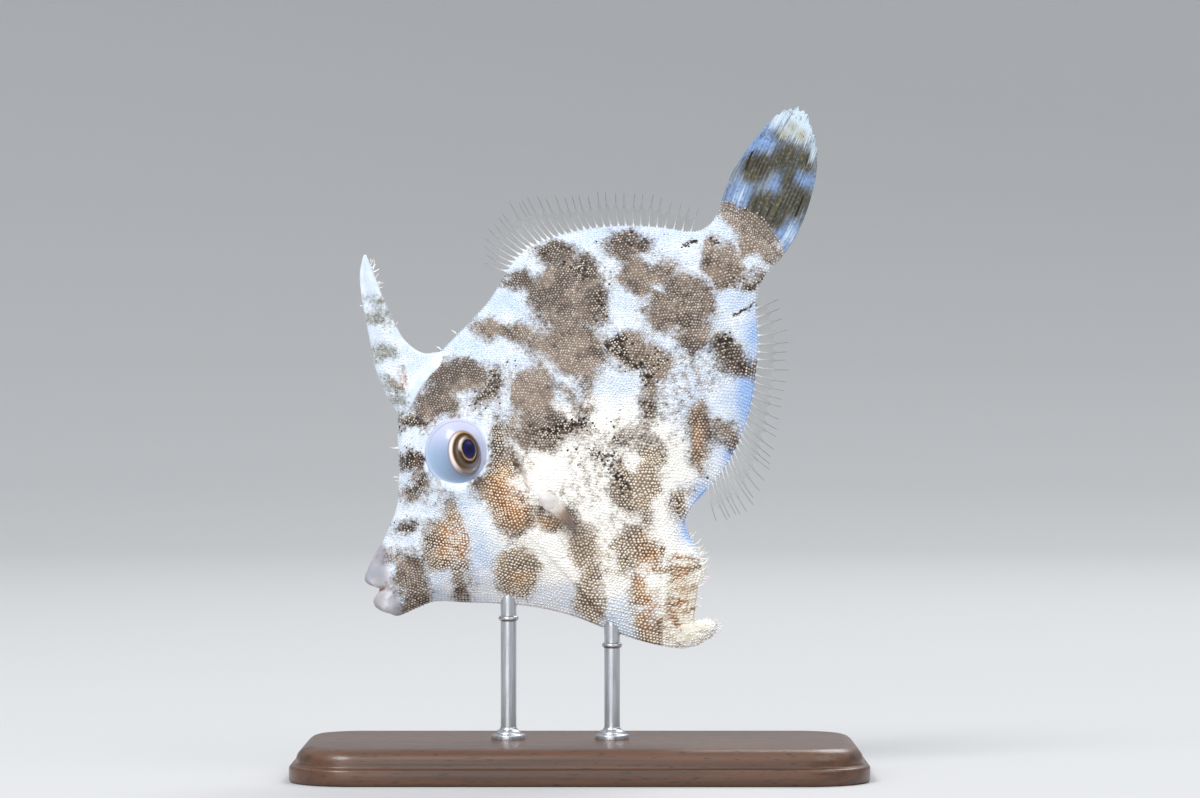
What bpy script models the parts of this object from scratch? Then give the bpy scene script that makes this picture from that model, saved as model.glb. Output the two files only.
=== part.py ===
"""A life-size filefish, nose down as it hovers, held over a flat base by two short rods.

The fish is shaped in its own frame and then pitched: x runs from the snout to the tail, z up to the back
and y across, with the left flank at -y. Sizes below are millimetres, and the meshes are metres.
"""

import math

import bmesh
import bpy
import numpy as np
from mathutils import Matrix, Vector

MM = 0.001
GAP = 0.3
TOUCH_GAP = 0.35
MERGE = 0.002
SHARP_ANGLE = math.radians(35)

# The pose: nose down, with the snout this far from the centre of the base's underside.
PITCH = math.radians(42)
SNOUT = (-30.2, 0.0, 27.7)

# The body's outline, snout to tail. Each row is one rib: its back edge (x, z) and its belly edge (x, z).
RIBS = {
    "lips": (0.9, 0.1, -0.4, -5.6),
    "jaws": (1.9, 0.85, 0.3, -7.3),
    "snout": (3.9, 1.3, 2.6, -8.1),
    "cheek": (6.6, 2.2, 5.2, -9.2),
    "nose": (10.4, 4.6, 8.4, -12.3),
    "orbit": (14.6, 9.0, 12.0, -15.8),
    "eye": (18.7, 13.6, 15.3, -19.5),
    "nape": (24.0, 15.9, 18.2, -23.8),
    "gill": (29.4, 16.3, 20.8, -28.9),
    "saddle": (34.4, 16.6, 23.8, -34.0),
    "pelvis": (37.9, 16.9, 26.8, -37.4),
    "pelvis_end": (39.9, 17.3, 29.0, -37.0),
    "flap_notch": (41.5, 17.8, 30.8, -34.9),
    "flap_edge": (43.0, 18.3, 33.7, -32.4),
    "flap_corner": (44.3, 18.7, 36.0, -30.8),
    "flap_top": (45.6, 18.9, 37.2, -28.1),
    "flap_root": (47.0, 18.9, 38.2, -24.7),
    "vent": (49.0, 18.6, 41.0, -23.3),
    "anal_front": (52.4, 17.2, 47.4, -22.5),
    "anal_mid": (56.4, 14.9, 53.6, -20.0),
    "rear": (60.2, 11.9, 58.8, -16.3),
    "narrowing": (63.4, 8.7, 63.0, -12.4),
    "stalk": (66.4, 5.2, 66.4, -8.6),
    "stalk_thin": (68.6, 4.3, 69.0, -6.9),
    "tail_root": (71.0, 4.7, 72.3, -6.4),
}
RIB_ORDER = list(RIBS)
FLAP_RIBS = RIB_ORDER[RIB_ORDER.index("pelvis") : RIB_ORDER.index("vent")]

# How thick the body is: half widths at the keel, low flank, mid flank, high flank and ridge, for every
# WIDTH_STEP of x from the snout on. Below the trunk the flap keeps the keel's width.
WIDTH_STEP = 6.0
WIDTHS = (
    (0.9, 1.3, 1.4, 1.3, 0.9),
    (1.1, 2.4, 2.9, 2.5, 1.1),
    (1.1, 3.2, 4.3, 3.8, 1.4),
    (1.1, 3.6, 5.2, 5.0, 2.0),
    (1.0, 3.6, 5.6, 5.3, 1.9),
    (0.9, 3.5, 5.6, 5.1, 1.5),
    (0.9, 3.6, 5.3, 4.7, 1.3),
    (1.0, 3.7, 5.0, 4.3, 1.3),
    (1.2, 3.6, 4.6, 3.9, 1.2),
    (1.2, 3.2, 4.0, 3.4, 1.1),
    (1.1, 2.3, 3.0, 2.6, 1.0),
    (0.9, 1.6, 2.1, 1.8, 0.9),
    (0.7, 1.0, 1.2, 1.0, 0.7),
)
BODY_RINGS = 62
RING_POINTS = 28
CURVE_POINTS = 900
EDGE_POWER = 4.0

# The orbit: a flattened ball set in each side of the head, with a raised rim of skin round it.
EYE_CENTRE = (21.7, 3.9, 4.4)
EYE_RADIUS = 4.1
EYE_DEPTH = 2.9
EYE_SEGMENTS = 24
RIM_HEIGHT = 0.45
RIM_WIDTH = 1.1

# The lips, the gape between them and the pelvis tip are each centre (x, z), semi-axes (x, y, z) and tilt
# in degrees, nose down.
LIPS = {
    "upper_lip": ((1.25, -0.55), (1.3, 1.6, 1.0), 12),
    "lower_lip": ((-0.05, -4.6), (1.5, 1.55, 1.8), 22),
}
GAPE = ((-0.6, -2.3), (1.5, 4.0, 0.42), 18)
PELVIS_TIP = ((30.1, -36.9), (2.5, 0.95, 1.5), 30)
NOSTRILS = ((16.5, 7.3), (15.9, 6.0))
NOSTRIL_RADIUS = 0.35
GILL_SLIT = ((26.6, -2.3), (26.3, -4.4), (25.3, -6.5))
GILL_RADIUS = 0.35

# Where the body is parted into its named nodes, as paths (x, z) across the flank.
PLATE_REACH = 12.0
HEAD_CUT = ((31.2, 22), (30.4, 14), (28.6, 3), (27.4, -4.4), (24.4, -12), (19.6, -20), (13, -26))
FLAP_CUT = ((21, -39.5), (24.8, -35.2), (29.6, -29.6), (33.8, -25.4), (37.2, -23.9), (40, -21.5), (43.5, -26.5))
TAIL_CUT = ((66.9, 9.0), (66.9, -12.0))
BODY_SEEDS = {
    "head": (14.0, -5.0),
    "trunk": (44.0, 0.0),
    "pelvic_flap": (31.5, -31.5),
    "caudal_peduncle": (69.5, -1.0),
}

# The first dorsal spine over the eye: its front edge and rear edge (x, z), rod and web half thickness.
SPINE_RIBS = (
    (18.7, 14.2, 29.2, 16.7, 1.6, 0.5),
    (19.4, 17.0, 27.1, 17.8, 1.4, 0.4),
    (20.9, 21.0, 26.4, 20.8, 1.2, 0.35),
    (23.3, 25.0, 27.1, 24.0, 1.1, 0.35),
    (25.7, 29.0, 28.5, 28.3, 0.9, 0.35),
    (27.9, 31.9, 29.7, 31.4, 0.7, 0.35),
    (29.9, 33.4, 30.4, 33.0, 0.35, 0.3),
)
SPINE_LEVELS = 12
SPINE_POINTS = 14
SPINE_BARBS = 6
ROD_SHARE = 0.62

# Barbs on the spine and bristles on the flap are small blunt cones, sunk in by a share of their length.
BARB_LENGTH = 1.1
BARB_RADIUS = 0.26
BARB_TIP = 0.12
BARB_LIFT = 0.3
BARB_SIDES = 5
BRISTLE_SINK = 0.2
BRISTLE_SPLAY = 0.15
TIP_SWEEP = (-60, 50)
TIP_BRISTLES = 4
EDGE_BRISTLES = 9

# Fins: the parts of the back and belly that they stand on, and for each share of the root the ray's
# length and its angle above the body axis.
DORSAL_SPAN = (43.6, 66.2)
DORSAL_RAYS = 30
DORSAL_FAN = ((3.2, 121), (6.4, 97), (6.9, 86), (5.6, 76), (4.8, 60), (4.4, 42), (3.4, 26))
ANAL_SPAN = (44.6, 65.8)
ANAL_RAYS = 28
ANAL_FAN = ((5.4, -124), (7.0, -112), (6.6, -98), (5.2, -84), (4.6, -62), (4.2, -38), (3.6, -12))
FIN_ROWS = 4
FIN_SWAY = 1.3
FIN_WAVES = 1.1
MEMBRANE_HALF = 0.25
RAY_RISE = 0.2
ROOT_HALF = 0.4
ROOT_SHARE = 0.4
RAY_TAPER = 0.6
SWAY_POWER = 1.4
TIP_SCALLOP = 0.35

# The tail fin, half closed: root and tip ends of its rays (x, z), upper edge first.
TAIL_ROOT = ((71.35, 4.7), (72.0, 1.6), (72.45, -2.4), (72.7, -6.4))
TAIL_TIPS = ((82.4, 9.0), (86.2, 9.5), (88.5, 8.9), (89.7, 7.5), (88.9, 4.9), (87.2, 2.0), (84.1, -0.9))
TAIL_RAYS = 12
TAIL_ROWS = 8
TAIL_BULGE = 1.0
TAIL_SWAY = 0.9

# The breast fins stand off the flank: root ends (x, z), ray length, fan angles and lift.
PECTORAL_ROOT = ((28.5, -8.3), (25.8, -9.0))
PECTORAL_RAYS = 9
PECTORAL_FAN = ((5.4, -74), (6.4, -84), (6.4, -96), (5.2, -106))
PECTORAL_LIFT = 0.24

# The stand.
BASE_SIZE = (80.0, 38.0, 5.0)
BASE_CORNER = 9.0
BASE_BEVEL = 1.0
ROD_RADIUS = 1.1
COLLAR_RADIUS = 2.4
COLLAR_HEIGHT = 1.4
ROD_PLACES = {"stand_rod_front": -10.0, "stand_rod_rear": 4.5}
ROD_SIDES = 20

COLOURS = {
    "skin": ((0.80, 0.79, 0.77), 0.6, 0.0),
    "lip": ((0.82, 0.74, 0.72), 0.45, 0.0),
    "fin": ((0.62, 0.60, 0.52), 0.4, 0.0),
    "eye": ((0.60, 0.66, 0.78), 0.15, 0.0),
    "stained_beech": ((0.10, 0.06, 0.04), 0.4, 0.0),
    "steel": ((0.60, 0.60, 0.61), 0.3, 1.0),
}


def clear_scene():
    for obj in list(bpy.data.objects):
        bpy.data.objects.remove(obj)


def new_collection(name, helper=False):
    made = bpy.data.collections.new(name)
    bpy.context.scene.collection.children.link(made)
    made.hide_render = helper
    return made


def material(name):
    """The Principled BSDF finish of that name, made once."""
    found = bpy.data.materials.get(name)
    if found:
        return found
    colour, roughness, metallic = COLOURS[name]
    made = bpy.data.materials.new(name)
    made.use_nodes = True
    shader = made.node_tree.nodes["Principled BSDF"]
    shader.inputs["Base Color"].default_value = (*colour, 1.0)
    shader.inputs["Roughness"].default_value = roughness
    shader.inputs["Metallic"].default_value = metallic
    return made


def shell_object(name, shell, collection, finish="skin"):
    """A smooth-shaded object from a bmesh in metres, which is freed."""
    mesh = bpy.data.meshes.new(name)
    shell.to_mesh(mesh)
    shell.free()
    mesh.shade_smooth()
    mesh.set_sharp_from_angle(angle=SHARP_ANGLE)
    mesh.materials.append(material(finish))
    obj = bpy.data.objects.new(name, mesh)
    collection.objects.link(obj)
    return obj


def add_object(name, points_mm, faces, collection, finish="skin"):
    """A mesh object from points in millimetres, with its faces turned outwards."""
    mesh = bpy.data.meshes.new(name)
    mesh.from_pydata((np.asarray(points_mm, float) * MM).tolist(), [], [tuple(f) for f in faces])
    shell = bmesh.new()
    shell.from_mesh(mesh)
    bpy.data.meshes.remove(mesh)
    bmesh.ops.recalc_face_normals(shell, faces=shell.faces)
    return shell_object(name, shell, collection, finish)


def padded(rows):
    """The rows with one more before the first and after the last, in line with their neighbours."""
    rows = np.asarray(rows, float)
    return np.concatenate([2 * rows[:1] - rows[1:2], rows, 2 * rows[-1:] - rows[-2:-1]])


def spline_weights(at, count):
    """For a place among count rows: the first of its four padded neighbours, and their four weights."""
    at = np.clip(np.asarray(at, float), 0, count - 1)
    first = np.minimum(at.astype(int), count - 2)
    f = at - first
    weights = (-f + 2 * f**2 - f**3, 2 - 5 * f**2 + 3 * f**3, f + 4 * f**2 - 3 * f**3, f**3 - f**2)
    return first, [w / 2 for w in weights]


def spline(rows, at):
    """The Catmull-Rom curve through the rows, read at parameters that count one for each row."""
    first, weights = spline_weights(at, len(rows))
    points = padded(rows)
    return sum(w[:, None] * points[first + k] for k, w in enumerate(weights))


def spread(rows, count):
    """Count points spaced evenly by parameter along the curve through the rows."""
    return spline(rows, np.linspace(0, len(rows) - 1, count))


def edge_at(which, x):
    """The height of the back, or of the belly behind the vent, at each x, and its slope."""
    start, column = (0, 0) if which == "back" else (RIB_ORDER.index("vent"), 2)
    rows = spline(list(RIBS.values()), np.linspace(start, len(RIBS) - 1, CURVE_POINTS))
    curve = rows[:, column : column + 2]
    slope = np.gradient(curve[:, 1], curve[:, 0])
    return np.interp(x, curve[:, 0], curve[:, 1]), np.interp(x, curve[:, 0], slope)


def trunk_belly(x):
    """The height at each x of the lower edge that the trunk would have without the flap."""
    curve = spread([rib for name, rib in RIBS.items() if name not in FLAP_RIBS], CURVE_POINTS)
    return np.interp(x, curve[:, 2], curve[:, 3])


def half_width(x, z):
    """Half the body's thickness at places on its flank, before its edges are rounded off."""
    back, belly = edge_at("back", x)[0], trunk_belly(x)
    height = np.clip((z - belly) / (back - belly), 0, 1)
    row, row_weights = spline_weights(x / WIDTH_STEP, len(WIDTHS))
    column, column_weights = spline_weights(height * (len(WIDTHS[0]) - 1), len(WIDTHS[0]))
    table = padded(padded(WIDTHS).T).T
    wide = sum(
        row_weights[i] * column_weights[j] * table[row + i, column + j] for i in range(4) for j in range(4)
    )
    return wide + orbit_rim(x, z)


def orbit_rim(x, z):
    """How far the skin stands up in a ring round the eye."""
    away = np.hypot(x - EYE_CENTRE[0], z - EYE_CENTRE[2])
    return RIM_HEIGHT * np.exp(-(((away - EYE_RADIUS) / RIM_WIDTH) ** 2))


def body_rings(rings, ring_points):
    """Points of the body as rings x points x 3: each ring runs from the back round one flank and back."""
    rows = spread(list(RIBS.values()), rings)
    angle = 2 * np.pi * np.arange(ring_points) / ring_points
    height = (1 + np.cos(angle)) / 2
    side = np.sign(np.round(np.sin(angle), 9))
    rounding = np.sqrt(np.clip(1 - np.abs(2 * height - 1) ** EDGE_POWER, 0, 1))
    back, belly = rows[:, None, 0:2], rows[:, None, 2:4]
    edge = belly + (back - belly) * height[None, :, None]
    wide = half_width(edge[..., 0], edge[..., 1]) * rounding
    return np.stack([edge[..., 0], side * wide, edge[..., 1]], axis=-1)


def ring_faces(rings, ring_points):
    """Triangles between neighbouring rings, split alike on both flanks, and a flat cap at each end."""
    faces = []
    for i in range(rings - 1):
        for j in range(ring_points):
            a, b = i * ring_points + j, i * ring_points + (j + 1) % ring_points
            c, d = a + ring_points, b + ring_points
            faces += [(a, b, c), (b, d, c)] if j < ring_points // 2 else [(a, b, d), (a, d, c)]
    last = (rings - 1) * ring_points
    half = ring_points // 2
    for start in (0, last):
        # Each cap is a ladder of rungs from flank to flank.
        for j in range(half):
            left, right = start + j, start + (ring_points - j) % ring_points
            below_left, below_right = start + j + 1, start + ring_points - j - 1
            if left == right:
                faces.append((left, below_left, below_right))
            elif below_left == below_right:
                faces.append((left, below_left, right))
            else:
                faces += [(left, below_left, right), (below_left, below_right, right)]
    return faces


def boolean(obj, other, operation, solver="EXACT"):
    """Cuts or joins obj with an object or a collection, and applies the result to its mesh."""
    step = obj.modifiers.new(operation.lower(), "BOOLEAN")
    step.operation = operation
    step.solver = solver
    if isinstance(other, bpy.types.Collection):
        step.operand_type = "COLLECTION"
        step.collection = other
    else:
        step.object = other
    keep_evaluated(obj)


def keep_evaluated(obj):
    """Replaces obj's mesh by what its modifiers make of it."""
    graph = bpy.context.evaluated_depsgraph_get()
    graph.update()
    made = bpy.data.meshes.new_from_object(obj.evaluated_get(graph))
    obj.modifiers.clear()
    obj.data = made


def loose_parts(obj):
    """The separate closed surfaces of obj's mesh as pairs of points and faces, largest first."""
    shell = bmesh.new()
    shell.from_mesh(obj.data)
    bmesh.ops.remove_doubles(shell, verts=shell.verts, dist=MERGE * MM)
    shell.verts.index_update()
    part_of = [None] * len(shell.verts)
    count = 0
    for seed in shell.verts:
        if part_of[seed.index] is not None:
            continue
        queue = [seed]
        part_of[seed.index] = count
        while queue:
            vert = queue.pop()
            for edge in vert.link_edges:
                other = edge.other_vert(vert)
                if part_of[other.index] is None:
                    part_of[other.index] = count
                    queue.append(other)
        count += 1
    parts = []
    for part in range(count):
        group = [v for v in shell.verts if part_of[v.index] == part]
        place = {v.index: i for i, v in enumerate(group)}
        faces = [[place[v.index] for v in f.verts] for f in shell.faces if part_of[f.verts[0].index] == part]
        parts.append((np.array([v.co[:] for v in group]), faces))
    shell.free()
    return sorted(parts, key=lambda p: -len(p[1]))


def set_mesh(obj, points, faces):
    """Gives obj a new mesh in metres, with the finishes of its old one."""
    finishes = list(obj.data.materials)
    mesh = bpy.data.meshes.new(obj.name)
    mesh.from_pydata(points.tolist(), [], faces)
    for finish in finishes:
        mesh.materials.append(finish)
    mesh.shade_smooth()
    mesh.set_sharp_from_angle(angle=SHARP_ANGLE)
    obj.data = mesh


def keep_largest(obj):
    """Drops every loose scrap of obj, so that it is one closed surface."""
    set_mesh(obj, *loose_parts(obj)[0])


def parting_plate(name, path, cutters):
    """A thin upright plate along a path (x, z), wide enough to part the whole body."""
    line = spread(path, 6 * len(path))
    edges = [np.insert(line, 1, y, axis=1) for y in (-PLATE_REACH, PLATE_REACH)]
    count = len(line)
    faces = [(i, i + 1, count + i + 1, count + i) for i in range(count - 1)]
    plate = add_object(name, np.concatenate(edges), faces, cutters)
    solidify = plate.modifiers.new("thickness", "SOLIDIFY")
    solidify.thickness = GAP * MM
    solidify.offset = 0
    solidify.use_even_offset = True
    return plate


def tube(name, points, radius, collection):
    """A round, capped tube of mesh along a list of points."""
    curve = bpy.data.curves.new(name, "CURVE")
    curve.dimensions = "3D"
    curve.bevel_depth = radius * MM
    curve.bevel_resolution = 2
    curve.use_fill_caps = True
    line = curve.splines.new("POLY")
    line.points.add(len(points) - 1)
    for point, place in zip(line.points, points):
        point.co = (*(Vector(place) * MM), 1.0)
    obj = bpy.data.objects.new(f"{name}_curve", curve)
    collection.objects.link(obj)
    graph = bpy.context.evaluated_depsgraph_get()
    graph.update()
    shell = bmesh.new()
    shell.from_mesh(bpy.data.meshes.new_from_object(obj.evaluated_get(graph)))
    bpy.data.objects.remove(obj)
    bmesh.ops.remove_doubles(shell, verts=shell.verts, dist=MERGE * MM)
    return shell_object(name, shell, collection)


def ball(name, centre, semi_axes, tilt, collection, segments=20, finish="skin"):
    """An ellipsoid turned nose down by tilt degrees."""
    shell = bmesh.new()
    bmesh.ops.create_uvsphere(shell, u_segments=segments, v_segments=segments * 3 // 5, radius=1.0)
    place = Matrix.Translation(Vector(centre) * MM) @ Matrix.Rotation(math.radians(tilt), 4, "Y")
    stretch = Matrix.Diagonal((*(Vector(semi_axes) * MM), 1.0))
    bmesh.ops.transform(shell, verts=shell.verts, matrix=place @ stretch)
    return shell_object(name, shell, collection, finish)


def barb(name, foot, direction, collection):
    """A small cone with its foot sunk in the surface."""
    shell = bmesh.new()
    bmesh.ops.create_cone(
        shell,
        cap_ends=True,
        segments=BARB_SIDES,
        radius1=BARB_RADIUS * MM,
        radius2=BARB_TIP * MM,
        depth=BARB_LENGTH * MM,
    )
    turn = Vector(direction).to_track_quat("Z", "Y").to_matrix().to_4x4()
    lift = Matrix.Translation((0, 0, BARB_LENGTH * BARB_LIFT * MM))
    bmesh.ops.transform(shell, verts=shell.verts, matrix=Matrix.Translation(Vector(foot) * MM) @ turn @ lift)
    return shell_object(name, shell, collection)


def join_pieces(obj, pieces):
    """Unions a throw-away collection of closed pieces onto obj and removes them."""
    boolean(obj, pieces, "UNION", "MANIFOLD")
    for piece in list(pieces.objects):
        bpy.data.objects.remove(piece)
    bpy.data.collections.remove(pieces)
    keep_largest(obj)


def make_body(parts, cutters):
    """The whole body as one loft, parted by thin plates into head, trunk, flap and tail stalk."""
    points = body_rings(BODY_RINGS, RING_POINTS).reshape(-1, 3)
    body = add_object("body", points, ring_faces(BODY_RINGS, RING_POINTS), parts)
    for name, path in (("cut_head", HEAD_CUT), ("cut_flap", FLAP_CUT), ("cut_tail", TAIL_CUT)):
        boolean(body, parting_plate(name, path, cutters), "DIFFERENCE")
    nodes = {}
    for place, faces in loose_parts(body)[: len(BODY_SEEDS)]:
        middle = (place.min(axis=0) + place.max(axis=0)) / 2 / MM
        name = min(BODY_SEEDS, key=lambda n: math.dist(BODY_SEEDS[n], (middle[0], middle[2])))
        node = bpy.data.objects.new(name, body.data)
        parts.objects.link(node)
        set_mesh(node, place, faces)
        nodes[name] = node
    bpy.data.objects.remove(body)
    return nodes


def finish_head(head, cutters):
    """Adds the lips, then cuts the gape, eye sockets, nostrils and gill slits."""
    lips = new_collection("lips", helper=True)
    for name, ((x, z), semi_axes, tilt) in LIPS.items():
        ball(name, (x, 0, z), semi_axes, tilt, lips, finish="lip")
    join_pieces(head, lips)
    (x, z), semi_axes, tilt = GAPE
    boolean(head, ball("cut_gape", (x, 0, z), semi_axes, tilt, cutters), "DIFFERENCE")
    for side in (-1, 1):
        x, y, z = EYE_CENTRE
        socket_axes = (EYE_RADIUS + GAP, EYE_DEPTH + GAP, EYE_RADIUS + GAP)
        socket = ball(f"cut_eye_{side}", (x, side * y, z), socket_axes, 0, cutters, EYE_SEGMENTS)
        boolean(head, socket, "DIFFERENCE")
        for i, (x, z) in enumerate(NOSTRILS):
            pit_axes = (NOSTRIL_RADIUS, 2 * NOSTRIL_RADIUS, NOSTRIL_RADIUS)
            place = (x, side * half_width(x, z), z)
            boolean(head, ball(f"cut_nostril_{side}_{i}", place, pit_axes, 0, cutters, 10), "DIFFERENCE")
        slit = [(x, side * half_width(x, z), z) for x, z in spread(GILL_SLIT, 7)]
        boolean(head, tube(f"cut_gill_{side}", slit, GILL_RADIUS, cutters), "DIFFERENCE")
    keep_largest(head)


def make_eyes(parts):
    x, y, z = EYE_CENTRE
    for name, side in (("eye_left", -1), ("eye_right", 1)):
        ball(name, (x, side * y, z), (EYE_RADIUS, EYE_DEPTH, EYE_RADIUS), 0, parts, EYE_SEGMENTS, "eye")


def finish_flap(flap):
    """Adds the blunt pelvis tip, and short bristles round it and up the flap's rear edge."""
    pieces = new_collection("flap_pieces", helper=True)
    (x, z), semi_axes, tilt = PELVIS_TIP
    ball("pelvis_tip", (x, 0, z), semi_axes, tilt, pieces)
    roots = []
    for turn in np.radians(np.linspace(*TIP_SWEEP, TIP_BRISTLES)):
        # Round the tip's ellipse, each root a little way inside it.
        reach = np.array([semi_axes[0] * math.cos(turn), semi_axes[2] * math.sin(turn)]) - BRISTLE_SINK
        lean = math.radians(tilt)
        out = np.array([math.cos(turn - lean), math.sin(turn - lean)])
        across = np.array([[math.cos(lean), math.sin(lean)], [-math.sin(lean), math.cos(lean)]])
        roots.append((np.array([x, z]) + across @ reach, out))
    first, last = (RIB_ORDER.index(name) for name in ("flap_edge", "flap_root"))
    edge = spread(list(RIBS.values())[first : last + 1], EDGE_BRISTLES)[:, 2:4]
    for place, (run_x, run_z) in zip(edge, np.gradient(edge, axis=0)):
        # Up the edge, each bristle square to it and away from the body.
        out = np.array([run_z, -run_x]) / math.hypot(run_x, run_z)
        roots.append((place - BRISTLE_SINK * out, out))
    for i, (root, out) in enumerate(roots):
        direction = (out[0], BRISTLE_SPLAY * (-1) ** i, out[1])
        barb(f"bristle_{i}", (root[0], 0, root[1]), direction, pieces)
    join_pieces(flap, pieces)


def make_spine(parts):
    """The barbed first dorsal spine with the web of skin behind it, as a loft of teardrop sections."""
    rows = spread(SPINE_RIBS, SPINE_LEVELS)
    angle = 2 * np.pi * np.arange(SPINE_POINTS) / SPINE_POINTS
    share = (1 - np.cos(angle)) / 2
    front, rear = rows[:, None, 0:2], rows[:, None, 2:4]
    edge = front + (rear - front) * share[None, :, None]
    # The lowest section is bent to the back that it stands on, and those above it less and less.
    seat, slope = edge_at("back", edge[0, :, 0])
    bend = seat + TOUCH_GAP * np.hypot(1, slope) - edge[0, :, 1]
    level = np.linspace(0, 1, SPINE_LEVELS)[:, None]
    edge[..., 1] += bend * (1 - level) ** 3
    # The rod fills the front of each section, and the web the rest.
    rod = rows[:, 4:5] * np.clip(1 - (share[None, :] / ROD_SHARE) ** 2, 0, 1)
    wide = np.maximum(rod, rows[:, 5:6]) * np.sin(angle)
    points = np.stack([edge[..., 0], wide, edge[..., 1]], axis=-1).reshape(-1, 3)
    spine = add_object("dorsal_spine", points, ring_faces(SPINE_LEVELS, SPINE_POINTS), parts)
    barbs = new_collection("barbs", helper=True)
    for i, row in enumerate(spread(SPINE_RIBS[2:], SPINE_BARBS + 2)[1:-1]):
        # The barbs stand in two rows down the rear edge, by turns left and right.
        side = (-1) ** i
        foot = (row[2] - BRISTLE_SINK, BRISTLE_SINK * side, row[3])
        barb(f"barb_{i}", foot, (1, 0.5 * side, 0.15), barbs)
    join_pieces(spine, barbs)


def ray_columns(rays):
    """Where the columns of a fin stand along its root, 0 to 1, and whether each is a ray's crest."""
    shares, crests = [], []
    for i in range(rays):
        for offset, crest in ((0.2, 0), (0.5, 1), (0.8, 0)):
            shares.append((i + offset) / rays)
            crests.append(crest)
    shares = np.array(shares)
    return (shares - shares[0]) / (shares[-1] - shares[0]), np.array(crests, float)


def fin_solid(name, root, tip, crests, parts, rows, sway, bulge=0.0):
    """A membrane with a raised ridge for each ray: root and tip hold one point (x, y, z) a column.

    The middle goes from root to tip, swayed sideways and bulged along the root's line, and the two
    faces stand off it to each side. Between rays the tip falls back a little.
    """
    share = np.linspace(0, 1, rows)[:, None]
    length = np.linalg.norm(tip - root, axis=1)
    reach = share * (1 - TIP_SCALLOP / length * (1 - crests))
    middle = root[None] + (tip - root)[None] * reach[..., None]
    middle[..., 1] += sway * reach**SWAY_POWER
    along = np.gradient(root, axis=0)
    along /= np.linalg.norm(along, axis=1, keepdims=True)
    lean = np.linspace(-1, 1, len(root)) * np.sin(np.pi * reach)
    middle += bulge * lean[..., None] * along[None]
    half = ROOT_HALF + (MEMBRANE_HALF - ROOT_HALF) * np.minimum(1, share / ROOT_SHARE)
    half = half + RAY_RISE * crests * (1 - RAY_TAPER * share)
    offset = half[..., None] * np.array([0.0, 1.0, 0.0])
    points = np.concatenate([(middle + offset).reshape(-1, 3), (middle - offset).reshape(-1, 3)])
    add_object(name, points, sheet_faces(rows, len(root)), parts, "fin")


def sheet_faces(rows, columns):
    """Two like grids of triangles, one for each face, joined all round the rim."""
    size = rows * columns
    faces = []
    for i in range(rows - 1):
        for j in range(columns - 1):
            a = i * columns + j
            b, c, d = a + 1, a + columns, a + columns + 1
            faces += [(a, b, d), (a, d, c), (a + size, d + size, b + size), (a + size, c + size, d + size)]
    rim = [j for j in range(columns)]
    rim += [i * columns + columns - 1 for i in range(1, rows)]
    rim += [(rows - 1) * columns + j for j in range(columns - 2, -1, -1)]
    rim += [i * columns for i in range(rows - 2, 0, -1)]
    for a, b in zip(rim, rim[1:] + rim[:1]):
        faces += [(a, a + size, b + size), (a, b + size, b)]
    return faces


def median_fin(name, which, span, rays, fan, sway_sign, parts):
    """A soft fin along the back or belly, its rays fanned as the fish holds them."""
    shares, crests = ray_columns(rays)
    x = span[0] + (span[1] - span[0]) * shares
    z, slope = edge_at(which, x)
    away = 1.0 if which == "back" else -1.0
    out = np.stack([-slope * away, np.zeros_like(x), np.full_like(x, away)], axis=1)
    out /= np.linalg.norm(out, axis=1, keepdims=True)
    root = np.stack([x, np.zeros_like(x), z], axis=1) + out * TOUCH_GAP
    fanned = spline(fan, shares * (len(fan) - 1))
    angle = np.radians(fanned[:, 1])
    tip = root + fanned[:, :1] * np.stack([np.cos(angle), np.zeros_like(angle), np.sin(angle)], axis=1)
    sway = sway_sign * FIN_SWAY * np.sin(2 * np.pi * FIN_WAVES * shares + 0.6)
    fin_solid(name, root, tip, crests, parts, FIN_ROWS, sway)


def make_tail_fin(parts):
    """The tail fin, swayed to one side at its upper edge and to the other at its lower."""
    shares, crests = ray_columns(TAIL_RAYS)
    root = spline(TAIL_ROOT, shares * (len(TAIL_ROOT) - 1))
    tip = spline(TAIL_TIPS, shares * (len(TAIL_TIPS) - 1))
    flat = np.zeros(len(root))
    root, tip = (np.stack([p[:, 0], flat, p[:, 1]], axis=1) for p in (root, tip))
    sway = TAIL_SWAY * np.cos(np.pi * shares)
    fin_solid("caudal_fin", root, tip, crests, parts, TAIL_ROWS, sway, TAIL_BULGE)


def make_breast_fins(parts):
    """A small folded fan on each flank, behind the gill slit."""
    shares, crests = ray_columns(PECTORAL_RAYS)
    fanned = spline(PECTORAL_FAN, shares * (len(PECTORAL_FAN) - 1))
    angle = np.radians(fanned[:, 1])
    feet = spline(PECTORAL_ROOT, shares)
    clear = max(half_width(*foot) for foot in feet[::8]) + GAP + ROOT_HALF + RAY_RISE
    for name, side in (("pectoral_fin_left", -1), ("pectoral_fin_right", 1)):
        root = np.stack([feet[:, 0], np.full(len(feet), side * clear), feet[:, 1]], axis=1)
        reach = np.stack([np.cos(angle), np.full(len(angle), side * PECTORAL_LIFT), np.sin(angle)], axis=1)
        tip = root + fanned[:, :1] * reach
        fin_solid(name, root, tip, crests, parts, FIN_ROWS, np.zeros(len(root)))


def to_part_frame(points):
    """Points of the fish's own frame, in millimetres, where they stand over the base."""
    x, y, z = np.asarray(points, float).T
    cos, sin = math.cos(PITCH), math.sin(PITCH)
    return np.stack([x * cos - z * sin, y, x * sin + z * cos], axis=1) + np.array(SNOUT)


def pose_fish(parts):
    """Hangs every piece of the fish on one empty, which pitches it nose down."""
    pose = bpy.data.objects.new("fish_pose", None)
    bpy.context.scene.collection.objects.link(pose)
    pose.rotation_euler = (0, -PITCH, 0)
    pose.location = Vector(SNOUT) * MM
    for obj in parts.objects:
        obj.parent = pose


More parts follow.
